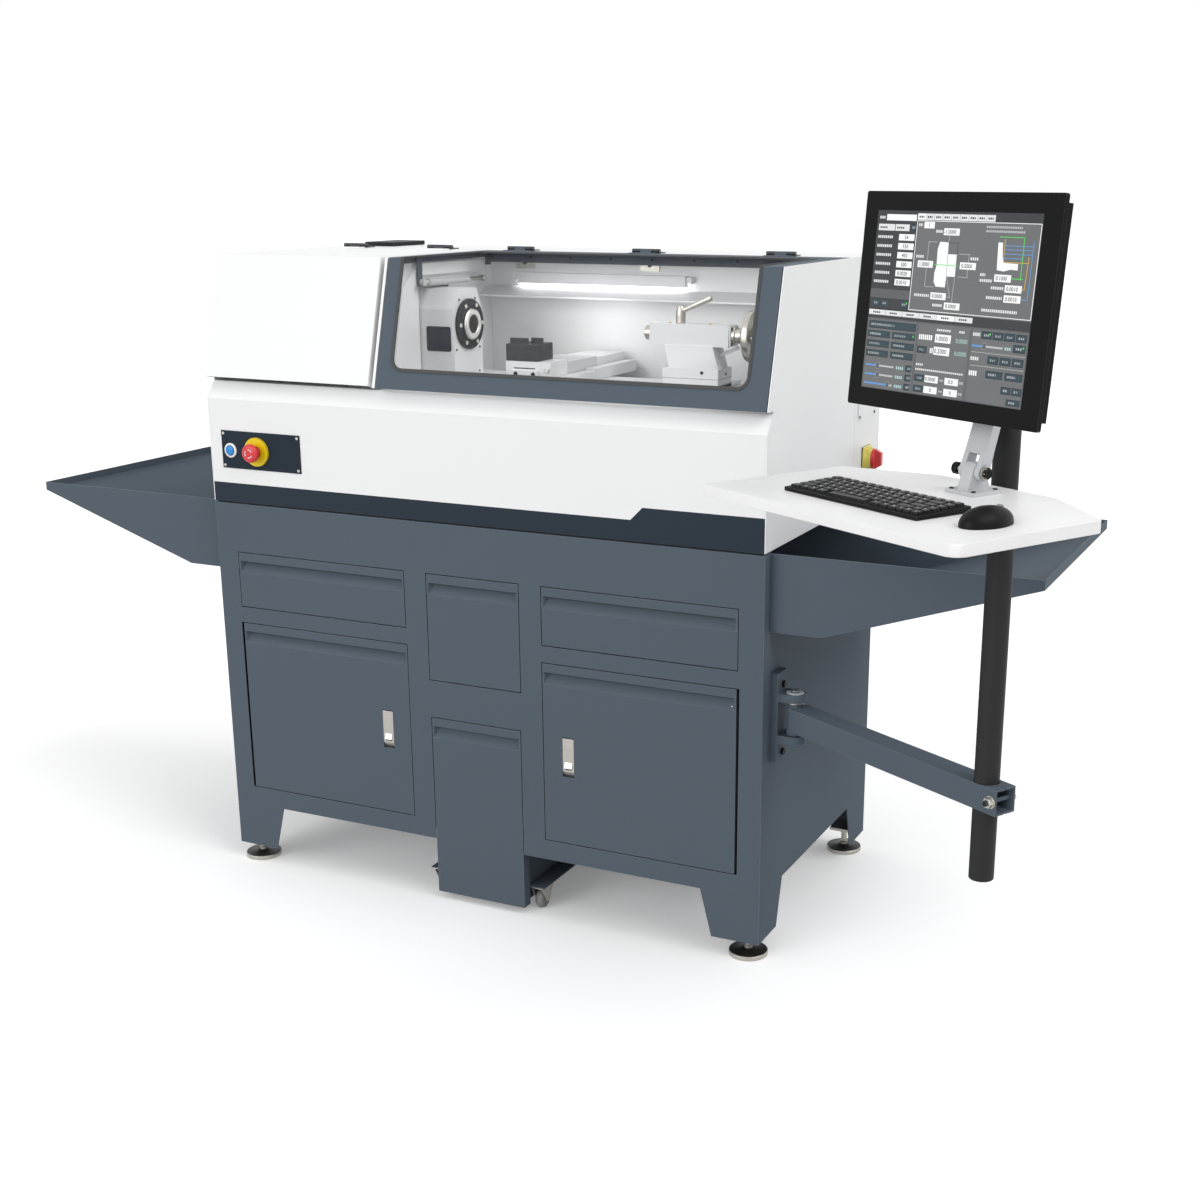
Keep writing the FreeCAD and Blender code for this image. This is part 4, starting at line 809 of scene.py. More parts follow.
def screw_tree():
    tree = Tree("screw_heads", (("Radius", 0.003), ("Height", 0.002), ("Socket", 0.0015)))
    given = tree.given
    up = tree.add("ShaderNodeCombineXYZ", Z=given["Height"]).outputs[0]
    head = tree.add("GeometryNodeMeshCylinder", Vertices=28, Radius=given["Radius"], Depth=given["Height"])
    hexagon = tree.add("GeometryNodeMeshCylinder", Vertices=6, Radius=given["Socket"], Depth=given["Height"])
    raised = tree.add("GeometryNodeTransform", Geometry=hexagon.outputs[0], Translation=tree.scaled(up, 0.6))
    drilled = tree.add("GeometryNodeMeshBoolean", {"operation": "DIFFERENCE"}, i0=head.outputs[0],
                       i1=raised.outputs[0])
    seated = tree.add("GeometryNodeTransform", Geometry=drilled.outputs[0], Translation=tree.scaled(up, 0.5))
    facing = tree.add("GeometryNodeInputNamedAttribute", {"data_type": "FLOAT_VECTOR"}, Name="facing")
    aim = tree.add("FunctionNodeAlignRotationToVector", {"axis": "Z"}, Vector=facing.outputs[0])
    placed = tree.add("GeometryNodeInstanceOnPoints", Points=given["Points"], Instance=seated.outputs[0],
                      Rotation=aim.outputs[0])
    return tree.finish(placed.outputs[0])


SCREWS = screw_tree()


def points_object(name, places):
    data = bpy.data.meshes.new(name)
    data.from_pydata(places, [], [])
    made = bpy.data.objects.new(name, data)
    bpy.context.collection.objects.link(made)
    return made


def bake_nodes(name, seed_object, tree, settings, body):
    """Runs a tree on an object, keeps the result as a plain mesh and drops the modifier."""
    modifier = seed_object.modifiers.new(name, "NODES")
    modifier.node_group = tree
    for socket in tree.interface.items_tree:
        if socket.in_out == "INPUT" and socket.name in settings:
            modifier[socket.identifier] = settings[socket.name]
    graph = bpy.context.evaluated_depsgraph_get()
    data = bpy.data.meshes.new_from_object(seed_object.evaluated_get(graph))
    data.name = name
    seed_object.modifiers.clear()
    bpy.data.objects.remove(seed_object)
    made = bpy.data.objects.new(name, data)
    bpy.context.collection.objects.link(made)
    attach(made, body)
    return made


def screws(name, spots, facing, body, radius=3.0, height=2.0, finish=None, place=MACHINE):
    """Screw heads at drawing positions, all facing one way."""
    seed_object = points_object(name + "_points", [place @ Vector(spot) for spot in spots])
    turned = (place.to_3x3() @ Vector(facing)).normalized()
    aim = seed_object.data.attributes.new("facing", "FLOAT_VECTOR", "POINT")
    for item in aim.data:
        item.vector = turned
    settings = {"Radius": radius * MM, "Height": height * MM, "Socket": radius * 0.5 * MM,
                "Finish": finish or zinc}
    return bake_nodes(name, seed_object, SCREWS, settings, body)


# %% Screws on the machine
OUT = (0, -1, 0)
CAP_SCREW_R = 42.0
cap_ring = [(504.8, SPINDLE_Y + CAP_SCREW_R * math.cos(math.radians(60 * i)),
             SPINDLE_Z + CAP_SCREW_R * math.sin(math.radians(60 * i))) for i in range(6)]
screws("bearing_cap_screws", cap_ring, RIGHT, "machine", 4.2, 1.6, nose_steel)
screws("headstock_face_screws", [(497, 199, 1233), (497, 261, 1233), (497, 275, 1133), (497, 184, 1134),
                                 (497, 272, 1084)], RIGHT, "machine", 2.4, 0.8, black_plastic)
screws("control_plate_screws", [(x, -1.5, z) for x in (37, 224) for z in (894.5, 961)], OUT,
       "machine", 3.0, 1.2)
screws("arm_bracket_screws", [(1264.5, 67, 420), (1264.5, 67, 555)], RIGHT, "machine",
       6.5, 6.0, black_plastic)
screws("hatch_screws", [(1251.2, y, z) for y in (517.5, 612.7) for z in (999.3, 1106)], RIGHT, "machine",
       3.0, 1.4, black_oxide)
screws("lid_flange_screws", [(436 + i * 95.2, 440.5, 1308) for i in range(9)], OUT,
       "window_cover", 2.6, 0.8, black_plastic)
screws("lamp_bracket_screws", [(505, 460, 1296), (802, 460, 1296)], OUT, "machine", 4.6, 1.6, black_oxide)
screws("tailstock_plate_screws", [(1088, y, z) for y in (218, 246) for z in (1166, 1195)], RIGHT,
       "tailstock", 2.6, 1.5, black_oxide)
screws("slide_screws", [(683, 98, 1104), (722, 98, 1104)], OUT, "cross_slide", 4.2, 1.2, black_plastic)
screws("tailstock_foot_screw", [(1033, 204, 1111)], OUT, "tailstock", 3.2, 0.8, black_plastic)
screws("tailstock_side_screw", [(1067, 241.8, 1107)], RIGHT, "tailstock", 2.6, 0.8, black_plastic)
screws("monitor_foot_screws", [(30 + u, -100 + v, DESK_TOP + 6) for u in (-23, 23) for v in (-23, 23)],
       (0, 0, 1), "post", 3.6, 1.6, black_plastic, ARM)
screws("slide_end_cap", [(750, 103, 1113)], OUT, "cross_slide", 5.2, 2.2, nose_steel)
print("Screw groups baked")

# %% [markdown]
# Bolts and trim are a few turned shapes each. The arm's split end is drawn shut by one
# large bolt. The barrel of the tailstock has two brass oil caps on top, and the lamp is
# held by small eyelets at its ends.

# %% Bolts, caps and small plates
SWING = MACHINE @ Matrix.Translation((PIN_X, PIN_Y, 0)) @ Matrix.Rotation(ARM_YAW, 4, "Z")
CLAMP = (526.0, 494.0)

bolt = bmesh.new()
add_turned(bolt, (CLAMP[0], -22.5, CLAMP[1]), [(0, 10.8), (1.2, 11.2), (1.8, 10.8)], OUT, 48)
add_turned(bolt, (CLAMP[0], -24, CLAMP[1]), [(0, 9.6), (7.2, 9.6), (8.4, 8.4)], OUT, 6)
add_turned(bolt, (CLAMP[0], -29, CLAMP[1]), [(0, 5.4), (6.4, 5.4), (7, 4.6)], OUT, 32, tone=1)
add_turned(bolt, (CLAMP[0], 22.5, CLAMP[1]), [(0, 10.8), (1.8, 10.8)], (0, 1, 0), 48)
add_turned(bolt, (CLAMP[0], 24, CLAMP[1]), [(0, 9), (6, 9), (6.8, 8)], (0, 1, 0), 6)
piece("clamp_bolt", bolt, [zinc, black_oxide], "swing_arm", SWING, smooth=32)

washers = bmesh.new()
add_turned(washers, (PIN_X, PIN_Y, 541.5), [(0, 17), (1.2, 17), (1.6, 16.4)])
add_turned(washers, (PIN_X, PIN_Y, 546.6), [(0, 9.6), (0.6, 9.6), (1, 9)], tone=1)
add_turned(washers, (PIN_X, PIN_Y, 522.6), [(0, 17.5), (3.3, 17.5)], tone=1)
piece("hinge_washers", washers, [bracket_paint, zinc], "machine", smooth=32)

oil_caps = bmesh.new()
for x in (954.0, 1039.0):
    add_turned(oil_caps, (x, SPINDLE_Y - 2, 1201), [(0, 3), (1, 3), (1.8, 2.2), (2, 0)], sides=24)
piece("oil_caps", oil_caps, brass, "tailstock", smooth=60)

eyelets = bmesh.new()
for x in (490.0, 898.0):
    add_turned(eyelets, (x, 451, 1266), [(0, 7), (1, 7.4), (4, 7.4), (5, 6.6), (5, 3.4), (0, 3.4)],
               OUT, 40, True)
    add_turned(eyelets, (x, 452, 1266), [(0, 3), (4.6, 3), (5.4, 2)], OUT, 24)
piece("lamp_eyelets", eyelets, nose_steel, "machine", smooth=40)

pivot = bmesh.new()
add_turned(pivot, (-10.4, -100, 1046), [(0, 7), (1, 9.4), (8.6, 9.4), (9.8, 8.4)], RIGHT, 40)
add_turned(pivot, (53.4, -100, 1046), [(0, 11), (2, 11)], RIGHT, 40, tone=1)
add_turned(pivot, (54, -100, 1046), [(0, 9), (6, 9), (7, 8)], RIGHT, 6)
piece("monitor_pivot_bolt", pivot, [black_plastic, zinc], "post", ARM, smooth=32)

badge = bmesh.new()
add_slab(badge, rounded([(-29.0, -25.0), (29.0, -25.0), (29.0, 25.0), (-29.0, 25.0)], (5,) * 4), 0, 0.7)
BADGE = MACHINE @ Matrix.Translation((461.2, 175, 1155.6)) @ Matrix.Rotation(math.pi / 2, 4, "X")
piece("plain_plate", badge, plate_blue, "machine", BADGE, smooth=32)

# %% [markdown]
# Each door has a pressed steel paddle latch. A shallow bead runs along three sides of the
# paddle. Low on it a small tab is bent outwards for the finger, above the slot, whose
# opening is drawn as a black strip of painted shade.

# %% Latch beads and tabs
LATCH = (398.5, 425.5, 321.0, 405.0)


def latch_trim(mesh, x0, x1, z0, z1):
    low, top = z0 + 3.5, z1 - 15
    for a, b, c, d in ((x0 + 5, x0 + 5.9, low + 30, top), (x1 - 5.9, x1 - 5, low + 30, top),
                       (x0 + 5, x1 - 5, top, top + 0.9)):
        add_box(mesh, (a, -0.35, c), (b, 0.2, d), 2)
    # The black strip below the tab is painted shade standing for the slot's opening.
    add_box(mesh, (x0 + 5.8, -0.4, z0 + 16.5), (x1 - 5.8, 0.2, z0 + 19.5), 3)
    tab = ((0.3, z0 + 33), (-2.6, z0 + 20.5), (-2.2, z0 + 19.5), (0.3, z0 + 20.5))
    add_prism(mesh, [(x0 + 5.8, y, z) for y, z in tab], [(x1 - 5.8, y, z) for y, z in tab], tone=1)


for side, x0 in (("left", LATCH[0]), ("right", STAND_W - LATCH[1])):
    trim = bmesh.new()
    latch_trim(trim, x0, x0 + 27, LATCH[2], LATCH[3])
    bmesh.ops.recalc_face_normals(trim, faces=trim.faces)
    piece(side + "_latch_trim", trim, [latch_steel, nose_steel, zinc, black_plastic], side + "_latch")
dot = bmesh.new()
add_turned(dot, (1187, 5.2, 517.6), [(0, 2.2), (1.2, 2.1), (2, 1.2), (2.2, 0)], OUT, 24)
piece("door_rivet", dot, zinc, "right_door", smooth=60)

# %% [markdown]
# The stop button has a broad mushroom head with arrows that show which way it turns to
# release. Around it lies the yellow ring that makes the button easy to find, and
# beside it the blue push button in its bezel.

# %% Push buttons
ESTOP_X, ESTOP_Z = 120.7, 926.7
RESET_X, RESET_Z = 54.0, 926.0
IN = (0, 1, 0)

mushroom = bmesh.new()
add_turned(mushroom, (ESTOP_X, -30, ESTOP_Z),
           [(0, 0), (0.05, 10), (0.5, 14), (1.7, 17.2), (4, 18.9), (7, 19.5), (9.5, 18.9), (12, 15.4),
            (12.6, 11), (50, 11), (50, 0)], IN)
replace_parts(piece("stop_mushroom", mushroom, red_plastic, "estop_button", smooth=40), "estop_button")

push = bmesh.new()
add_turned(push, (RESET_X, -8, RESET_Z),
           [(0.3, 0), (0, 8.4), (0.4, 9.3), (1.2, 9.8), (3.2, 9.8), (3.2, 8.1), (26, 8.1), (26, 0)], IN, 48)
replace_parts(piece("blue_push", push, blue_plastic, "reset_button", smooth=40), "reset_button")

ring = bmesh.new()
add_turned(ring, (ESTOP_X, -6.05, ESTOP_Z),
           [(0, 12.2), (0, 29.4), (0.7, 30.1), (4.5, 30.1), (4.5, 12.2)], IN, 72, True)
piece("stop_ring", ring, yellow_plastic, "machine", smooth=40)
bezel = bmesh.new()
add_turned(bezel, (RESET_X, -5.1, RESET_Z),
           [(0.6, 10.4), (0, 11), (0, 13.6), (1.2, 15.2), (3.5, 15.2), (3.5, 10.4)], IN, 56, True)
piece("button_bezel", bezel, white_plastic, "machine", smooth=40)


def arrow(mesh, start, sweep, radius, width, depth):
    """A curved arrow on the mushroom's face, from a start angle in degrees."""
    steps = 10
    left, right = [], []
    for i in range(steps + 1):
        turn = math.radians(start + sweep * i / steps)
        for side, store in ((width / 2, left), (-width / 2, right)):
            store.append(mesh.verts.new((ESTOP_X + (radius + side) * math.cos(turn), depth,
                                         ESTOP_Z + (radius + side) * math.sin(turn))))
    for i in range(steps):
        mesh.faces.new((left[i], left[i + 1], right[i + 1], right[i]))
    turn = math.radians(start + sweep)
    ahead = math.radians(start + sweep * 1.3)
    tips = [((radius + width * 1.3) * math.cos(turn), (radius + width * 1.3) * math.sin(turn)),
            (radius * math.cos(ahead), radius * math.sin(ahead)),
            ((radius - width * 1.3) * math.cos(turn), (radius - width * 1.3) * math.sin(turn))]
    mesh.faces.new([mesh.verts.new((ESTOP_X + x, depth, ESTOP_Z + z)) for x, z in tips])


arrows = bmesh.new()
for first_angle in (20, 140, 260):
    arrow(arrows, first_angle, 60, 8.4, 1.5, -30.12)
piece("release_arrows", arrows, white_plastic, "estop_button")

# %% [markdown]
# The keyboard is a sloping deck with about eighty keys in six rows. The CAD keeps one
# step for each row. Here each key is a small tapered block. One tree places them: a
# row is a line of points, and each key is scaled by the width stored on its point.

# %% Keyboard
KEYBOARD = (-150.0, 140.0, -322.0, -215.0)
DECK_FRONT, DECK_REAR = DESK_TOP + 6.5, DESK_TOP + 10.0
ROWS = (
    (1.25, 1.0, 1.0, 1.25, 5.5, 1.25, 1.0, 1.0, 0.75, 0.9, 0.9),
    (2.1, 1, 1, 1, 1, 1, 1, 1, 1, 1, 1, 2.0, 0.9, 0.8),
    (1.7, 1, 1, 1, 1, 1, 1, 1, 1, 1, 1, 1, 2.1, 1.0),
    (1.4, 1, 1, 1, 1, 1, 1, 1, 1, 1, 1, 1, 1, 1.4, 1.0),
    (1, 1, 1, 1, 1, 1, 1, 1, 1, 1, 1, 1, 1, 1.8, 1.0),
    (1,) * 15,
)


def key_tree():
    tree = Tree("keys", (("Depth", 0.0165), ("Rise", 0.006)), ("Turn",))
    given = tree.given
    block = tree.add("GeometryNodeMeshCube")
    normal = tree.add("GeometryNodeInputNormal")
    height = tree.add("ShaderNodeSeparateXYZ", i0=normal.outputs[0])
    upper = tree.add("FunctionNodeCompare", A=height.outputs["Z"], B=0.9)
    taper = tree.add("GeometryNodeScaleElements", Geometry=block.outputs[0], Selection=upper.outputs[0],
                     Scale=0.82)
    width = tree.add("GeometryNodeInputNamedAttribute", {"data_type": "FLOAT"}, Name="width")
    size = tree.add("ShaderNodeCombineXYZ", X=width.outputs[0], Y=given["Depth"], Z=given["Rise"])
    placed = tree.add("GeometryNodeInstanceOnPoints", Points=given["Points"], Instance=taper.outputs[0],
                      Rotation=given["Turn"], Scale=size.outputs[0])
    return tree.finish(placed.outputs[0])


def key_places():
    """Middle and width of every key, row by row, in the arm's millimetres."""
    left, right, front, rear = KEYBOARD
    pitch = (rear - front - 10) / len(ROWS)
    slope = math.atan2(DECK_REAR - DECK_FRONT, rear - front)
    spots, widths = [], []
    for number, row in enumerate(ROWS):
        unit = (right - left - 12) / sum(row)
        u, v = left + 6, front + 5 + pitch * (number + 0.5)
        z = DECK_FRONT + (v - front) * math.tan(slope) + 1.4
        for key in row:
            spots.append((u + key * unit / 2, v, z))
            widths.append(key * unit - 2.0)
            u += key * unit
    return spots, widths, pitch, slope


def keyboard_keys():
    spots, widths, pitch, slope = key_places()
    seed_object = points_object("key_points", [ARM @ Vector(spot) for spot in spots])
    store = seed_object.data.attributes.new("width", "FLOAT", "POINT")
    for item, width in zip(store.data, widths):
        item.value = width * MM
    settings = {"Depth": (pitch - 2.0) * MM, "Rise": 5.2 * MM, "Turn": (slope, 0, ARM_YAW),
                "Finish": key_plastic}
    bake_nodes("keyboard_keys", seed_object, key_tree(), settings, "post")
    print("Keys:", len(spots))


def key_marks():
    """A tiny pale tick on each letter key, where a real key has its legend."""
    spots, widths, _, slope = key_places()
    marks = bmesh.new()
    for number, ((u, v, z), width) in enumerate(zip(spots, widths)):
        if width > 20:
            continue
        length = 1.4 + (number * 7 % 5) * 0.5
        z += 2.66
        corners = [(u - 5, v + 1.5), (u - 5 + length, v + 1.5), (u - 5 + length, v + 4.3), (u - 5, v + 4.3)]
        marks.faces.new([marks.verts.new((a, b, z + (b - v) * math.tan(slope))) for a, b in corners])
    piece("key_marks", marks, white_plastic, "post", ARM)


def keyboard_deck():
    left, right, front, rear = KEYBOARD
    deck = bmesh.new()
    add_slab(deck, [(left, front), (right, front), (right, rear), (left, rear)], DESK_TOP, DECK_FRONT)
    for vert in deck.verts:
        if vert.co.z > DESK_TOP + 1 and vert.co.y > front + 1:
            vert.co.z = DECK_REAR
    return piece("keyboard_deck", deck, black_plastic, "post", ARM, bevel=1.4)


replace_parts(keyboard_deck(), "keyboard")
keyboard_keys()
key_marks()

# %% [markdown]
# A mouse is a low rounded hump, wider at the back. A sphere squashed to its size and
# pulled narrower towards the front gives that shape. A thin groove splits the two
# buttons, and a small wheel stands in the groove.

# %% Mouse
MOUSE = (213.0, -260.0)


def mouse_body():
    shell = bmesh.new()
    bmesh.ops.create_uvsphere(shell, u_segments=64, v_segments=40, radius=1.0)
    for vert in shell.verts:
        x, y, z = vert.co
        narrow = 1.0 - 0.12 * max(0.0, y)
        groove = 1.2 if abs(x) < 0.05 and y > 0.15 and z > 0.2 else 0.0
        vert.co = Vector((MOUSE[0] + 28.0 * x * narrow, MOUSE[1] + 47.0 * y,
                          DESK_TOP + 27.0 * max(z, 0.0) ** 0.8 - groove))
    bmesh.ops.remove_doubles(shell, verts=shell.verts, dist=0.05)
    return piece("mouse_shell", shell, black_plastic, "post", ARM, smooth=60)


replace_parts(mouse_body(), "mouse")
scroll = bmesh.new()
add_turned(scroll, (MOUSE[0] - 3, MOUSE[1] + 24, DESK_TOP + 19.5),
           [(0, 6), (0.8, 7), (5.2, 7), (6, 6)], RIGHT, 40)
piece("mouse_wheel", scroll, wheel_rubber, "post", ARM, smooth=40)

# %% [markdown]
# The display shows a control program. Its picture is made of flat shapes just in front
# of the glass: grey panels, white number fields, dark buttons with lamps, sliders and
# drawings of a turned part. The layout is this notebook's own and its only lettering
# is numbers.

# %% Display tones
SCREEN_W, SCREEN_H, SCREEN_SHIFT = 338.0, 270.0, -3.6
MONITOR = (ARM @ Matrix.Translation((-17.7, -124.0, 1288.5))
           @ Matrix.Rotation(math.radians(-5), 4, "X"))


def lit(name, colour):
    graph = Graph(name)
    glow = graph.mix(graph.noise(14.0), shade(colour, 0.93), colour)
    return graph.set(base_color=shade(colour, 0.08), roughness=0.35, emission_color=glow,
                     emission_strength=1.0)


TONES = {"back": "#666869", "dark": "#2b2e31", "panel": "#54575a", "white": "#f4f5f5", "button": "#233c47",
         "edge": "#17262d", "green": "#4fd64f", "blue": "#5b93cf", "gold": "#c9a93c", "grey": "#b9bcbe",
         "pale": "#dfe1e2", "aqua": "#a9c9c6"}
SCREEN_TONES = {tone: lit("screen_" + tone, rgb(code)) for tone, code in TONES.items()}


# %% Drawing tools for the picture
class Picture:
    """Flat shapes by tone. Positions are in percent of the display from its top left."""

    def __init__(self):
        self.tones = {}
        self.numbers = []

    def spot(self, x, y, layer):
        return (SCREEN_SHIFT + (x / 100 - 0.5) * SCREEN_W, 0.34 - 0.04 * layer, (0.5 - y / 100) * SCREEN_H)

    def shape(self, tone, points, layer=2):
        mesh = self.tones.setdefault(tone, bmesh.new())
        mesh.faces.new([mesh.verts.new(self.spot(x, y, layer)) for x, y in points])

    def quad(self, tone, left, top, right, bottom, layer=1):
        self.shape(tone, [(left, bottom), (right, bottom), (right, top), (left, top)], layer)

    def line(self, tone, x0, y0, x1, y1, width=0.18, layer=3):
        dx, dy = x1 - x0, y1 - y0
        length = math.hypot(dx, dy)
        nx, ny = -dy / length * width, dx / length * width
        self.shape(tone, [(x0 - nx, y0 - ny), (x1 - nx, y1 - ny), (x1 + nx, y1 + ny),
                          (x0 + nx, y0 + ny)], layer)

    def frame(self, tone, left, top, right, bottom, width=0.18):
        for a in ((left, top, right, top), (left, bottom, right, bottom), (left, top, left, bottom),
                  (right, top, right, bottom)):
            self.line(tone, *a, width)

    def label(self, x, y, length, tone="pale", high=0.75):
        """A row of short dashes where a program has a word."""
        while length > 0.4:
            dash = min(0.9, length)
            self.quad(tone, x, y - high, x + dash, y + high, 3)
            x, length = x + dash + 0.35, length - dash - 0.35

    def digits_at(self, text, left, bottom, size, tone="dark"):
        self.numbers.append((text, left, bottom, size, tone))

    def field(self, text, left, top, right, bottom, size=8.2):
        self.quad("white", left, top, right, bottom, 4)
        width = len(text) * size * 0.54 / SCREEN_W * 100
        rise = (bottom - top - size * 0.7 / SCREEN_H * 100) / 2
        self.digits_at(text, (left + right - width) / 2, bottom - rise, size)

    def button(self, left, top, right, bottom, lamp=None):
        self.quad("edge", left, top, right, bottom, 2)
        self.quad("button", left + 0.35, top + 0.4, right - 0.35, bottom - 0.5, 3)
        self.label(left + 1.5, (top + bottom) / 2, (right - left) * 0.5, "grey", 0.6)
        if lamp:
            self.quad(lamp, right - 1.5, top + 0.8, right - 0.8, top + 2.0, 4)

    def slider(self, left, right, y, part):
        middle = left + (right - left) * part
        self.quad("blue", left, y - 0.5, middle, y + 0.5, 3)
        self.quad("grey", middle, y - 0.5, right, y + 0.5, 3)
        self.quad("panel", middle - 1, y - 1.6, middle + 1, y + 1.6, 4)
        self.frame("grey", middle - 1, y - 1.6, middle + 1, y + 1.6, 0.12)

    def digits(self, tone):
        joined = bmesh.new()
        for text, left, base, size, shown_tone in self.numbers:
            if shown_tone != tone:
                continue
            curve = bpy.data.curves.new("digits", "FONT")
            curve.body = text
            curve.size = size
            curve.offset = 0.1
            curve.resolution_u = 2
            shown = bpy.data.objects.new("digits", curve)
            data = bpy.data.meshes.new_from_object(shown)
            bpy.data.objects.remove(shown)
            data.transform(Matrix.Translation(self.spot(left, base, 6))
                           @ Matrix.Rotation(math.pi / 2, 4, "X"))
            joined.from_mesh(data)
        return joined

    def finish(self):
        for tone, mesh in self.tones.items():
            piece("screen_" + tone, mesh, SCREEN_TONES[tone], "monitor", MONITOR)
        for tone in ("dark", "aqua"):
            piece("numbers_" + tone, self.digits(tone), SCREEN_TONES[tone], "monitor", MONITOR)


# %% Upper half: job data and the part's drawing
picture = Picture()
picture.quad("back", 0, 0, 100, 100, 0)
picture.quad("dark", 0, 0, 26, 55.2)
picture.quad("panel", 0, 43.6, 26, 48.6, 2)
picture.quad("white", 6.1, 2.1, 25.5, 5.5, 2)
picture.label(1.6, 3.9, 3.6)
for left, right in ((1.3, 12), (12.4, 21.5)):
    picture.quad("pale", left, 7.5, right, 11.1, 2)
    picture.label(left + 1, 9.4, 5, "dark", 0.5)
picture.button(21.9, 7.2, 25.5, 10.9)
for row, text in enumerate(("54", "550", "450", "500", "0.0020", "0.0010")):
    top = 12.8 + row * 4.95
    picture.label(1.5, top + 1.8, 9.8)
    picture.field(text, 15.3, top, 25.3, top + 3.5)
for left, lamp in ((1.6, None), (7.4, None), (20.2, "green")):
    picture.button(left, 49.3, left + 5.4, 53.6, lamp)
picture.quad("dark", 26, 0, 100, 5.0)
for i in range(9):
    picture.quad("white" if i == 0 else "pale", 26.2 + i * 5.24, 1.3, 31.3 + i * 5.24, 4.7, 2)
    picture.label(27.1 + i * 5.24, 3.1, 3.1, "dark", 0.55)
picture.frame("white", 26.3, 5.2, 99.5, 53.8)
picture.label(27.4, 7.4, 2.6)
picture.field("1", 30.8, 5.7, 37.3, 9.2)

picture.shape("white", [(41.8, 16.1), (47, 16.3), (47.3, 22.5), (52.7, 22.5), (53, 34.4), (47.7, 34.4),
                        (47.6, 40.3), (41.8, 40.2), (40.3, 37.8), (40.1, 33.1), (41, 28.9), (40.7, 20)], 2)
picture.line("dark", 47.3, 22.5, 47.7, 34.4, 0.1)
picture.line("green", 39.7, 28.4, 54.1, 28.4, 0.2, 4)
for x0, y0, x1, y1 in ((34.6, 16.3, 40.3, 16.3), (35.2, 40.5, 40.6, 40.5), (34.9, 16.3, 34.9, 40.5),
                       (47.2, 12.6, 47.2, 15.8), (53.9, 22.2, 60.8, 22.2), (54.8, 34.3, 60.8, 34.3),
                       (60.2, 22.2, 60.2, 34.3), (48, 34.6, 51.2, 45.6), (52.9, 35, 52.6, 48.2),
                       (48.8, 45.4, 51.2, 45.6)):
    picture.line("grey", x0, y0, x1, y1, 0.13)
picture.line("edge", 47.4, 16.4, 52.9, 16.4, 0.12)
picture.line("edge", 52.9, 16.4, 52.9, 22.2, 0.12)
for text, left, top in (("-1.0000", 43.4, 8.8), ("1.0000", 29.1, 26.6), ("0.5000", 55.3, 26.4),
                        ("0.0000", 39.2, 43.4), ("0.0000", 48.2, 48.3)):
    picture.field(text, left, top, left + 9.6, top + 3.7)
for x, y, length in ((38.6, 10.6, 4.2), (27.7, 24.4, 5.2), (61.2, 24.3, 5.2), (28.8, 45.4, 9.4),
                     (41, 50.2, 6.4)):
    picture.label(x, y, length)

# %% Upper half: the second drawing
picture.label(68.7, 7.4, 20.5, "grey", 0.55)
picture.label(68.6, 9.6, 22.4, "grey", 0.55)
picture.shape("white", [(76.4, 15.1), (79, 15.2), (79.7, 22.7), (81.2, 25.5), (88.9, 25.7), (89, 29),
                        (84.9, 28.8), (81.2, 29.9), (77.2, 29.4), (76.9, 24.9)], 2)
for y, x in ((16.7, 96.4), (18.7, 96.2), (20.9, 96.2), (23.1, 91.3)):
    picture.line("blue", 80.6, y, x, y, 0.2)
    picture.shape("blue", [(80.2, y), (81.4, y + 0.5), (81.4, y - 0.5)], 4)
for line in ((80.2, 13.4, 80.3, 25), (80.3, 25.2, 94.8, 25.2), (94.5, 22, 94, 38.6), (94, 38.6, 92.4, 38.6)):
    picture.line("gold", *line, 0.2)
for line in ((76.9, 12.3, 90.9, 12.3), (90.9, 12.3, 91.2, 34), (86, 33.4, 92.7, 33.4)):
    picture.line("green", *line, 0.2)
picture.line("blue", 96.4, 14, 96.3, 43.8, 0.2)
picture.line("blue", 96.3, 43.8, 92.7, 43.8, 0.2)
for text, left, top in (("0.1000", 76.3, 31.6), ("0.0010", 83, 36.8), ("0.0010", 83, 42)):
    picture.field(text, left, top, left + 9.6, top + 3.8)
for x, y, length in ((67.9, 32.2, 3), (68, 35.2, 7), (75, 38.7, 7.2), (72.8, 43.9, 9.2), (70.9, 50.6, 20.5)):
    picture.label(x, y, length)

# %% Lower half: program, positions and jogging
picture.quad("dark", 0, 54.6, 100, 60)
for i in range(6):
    picture.quad("white" if i == 4 else "pale", 0.4 + i * 11.03, 55.3, 11.3 + i * 11.03, 58.2, 2)
    picture.label(3.2 + i * 11.03, 56.8, 5, "dark", 0.5)
for left, right in ((0.5, 33.2), (33.9, 66.2), (66.9, 99.6)):
    picture.frame("panel", left, 60.4, right, 99.7, 0.25)
picture.button(1.2, 61.5, 32.4, 65.9, "edge")
for row in range(3):
    top = 67.1 + row * 5.5
    picture.button(0.9, top, 15.8, top + 3.8, "edge")
    picture.button(17.3, top, 32.2, top + 3.8, "green" if row == 0 else None)
for row, part in enumerate((0.43, 0.46, 0.84)):
    y = 86.8 + row * 5.2
    picture.slider(1.5, 20.4, y, part)
    picture.label(22, y, 4.8, "aqua", 0.8)
    picture.button(28.1, y - 2.2, 32, y + 1.6)
for label in ((45.7, 63.4, 8.4, "pale", 0.6), (59.4, 63.4, 3.2, "pale", 0.6), (34.8, 68, 8.8, "white", 1.4),
              (42.6, 75, 1.8, "white", 1.4), (34.7, 83.2, 4.4, "pale", 0.6), (34.6, 85.9, 30.4, "pale", 0.5),
              (67.8, 63.6, 4.2, "pale", 0.9), (87, 69.6, 3.8, "aqua", 0.8), (67.8, 76.4, 5, "pale", 0.9),
              (67.8, 84.2, 4.6, "white", 1.3)):
    picture.label(*label)
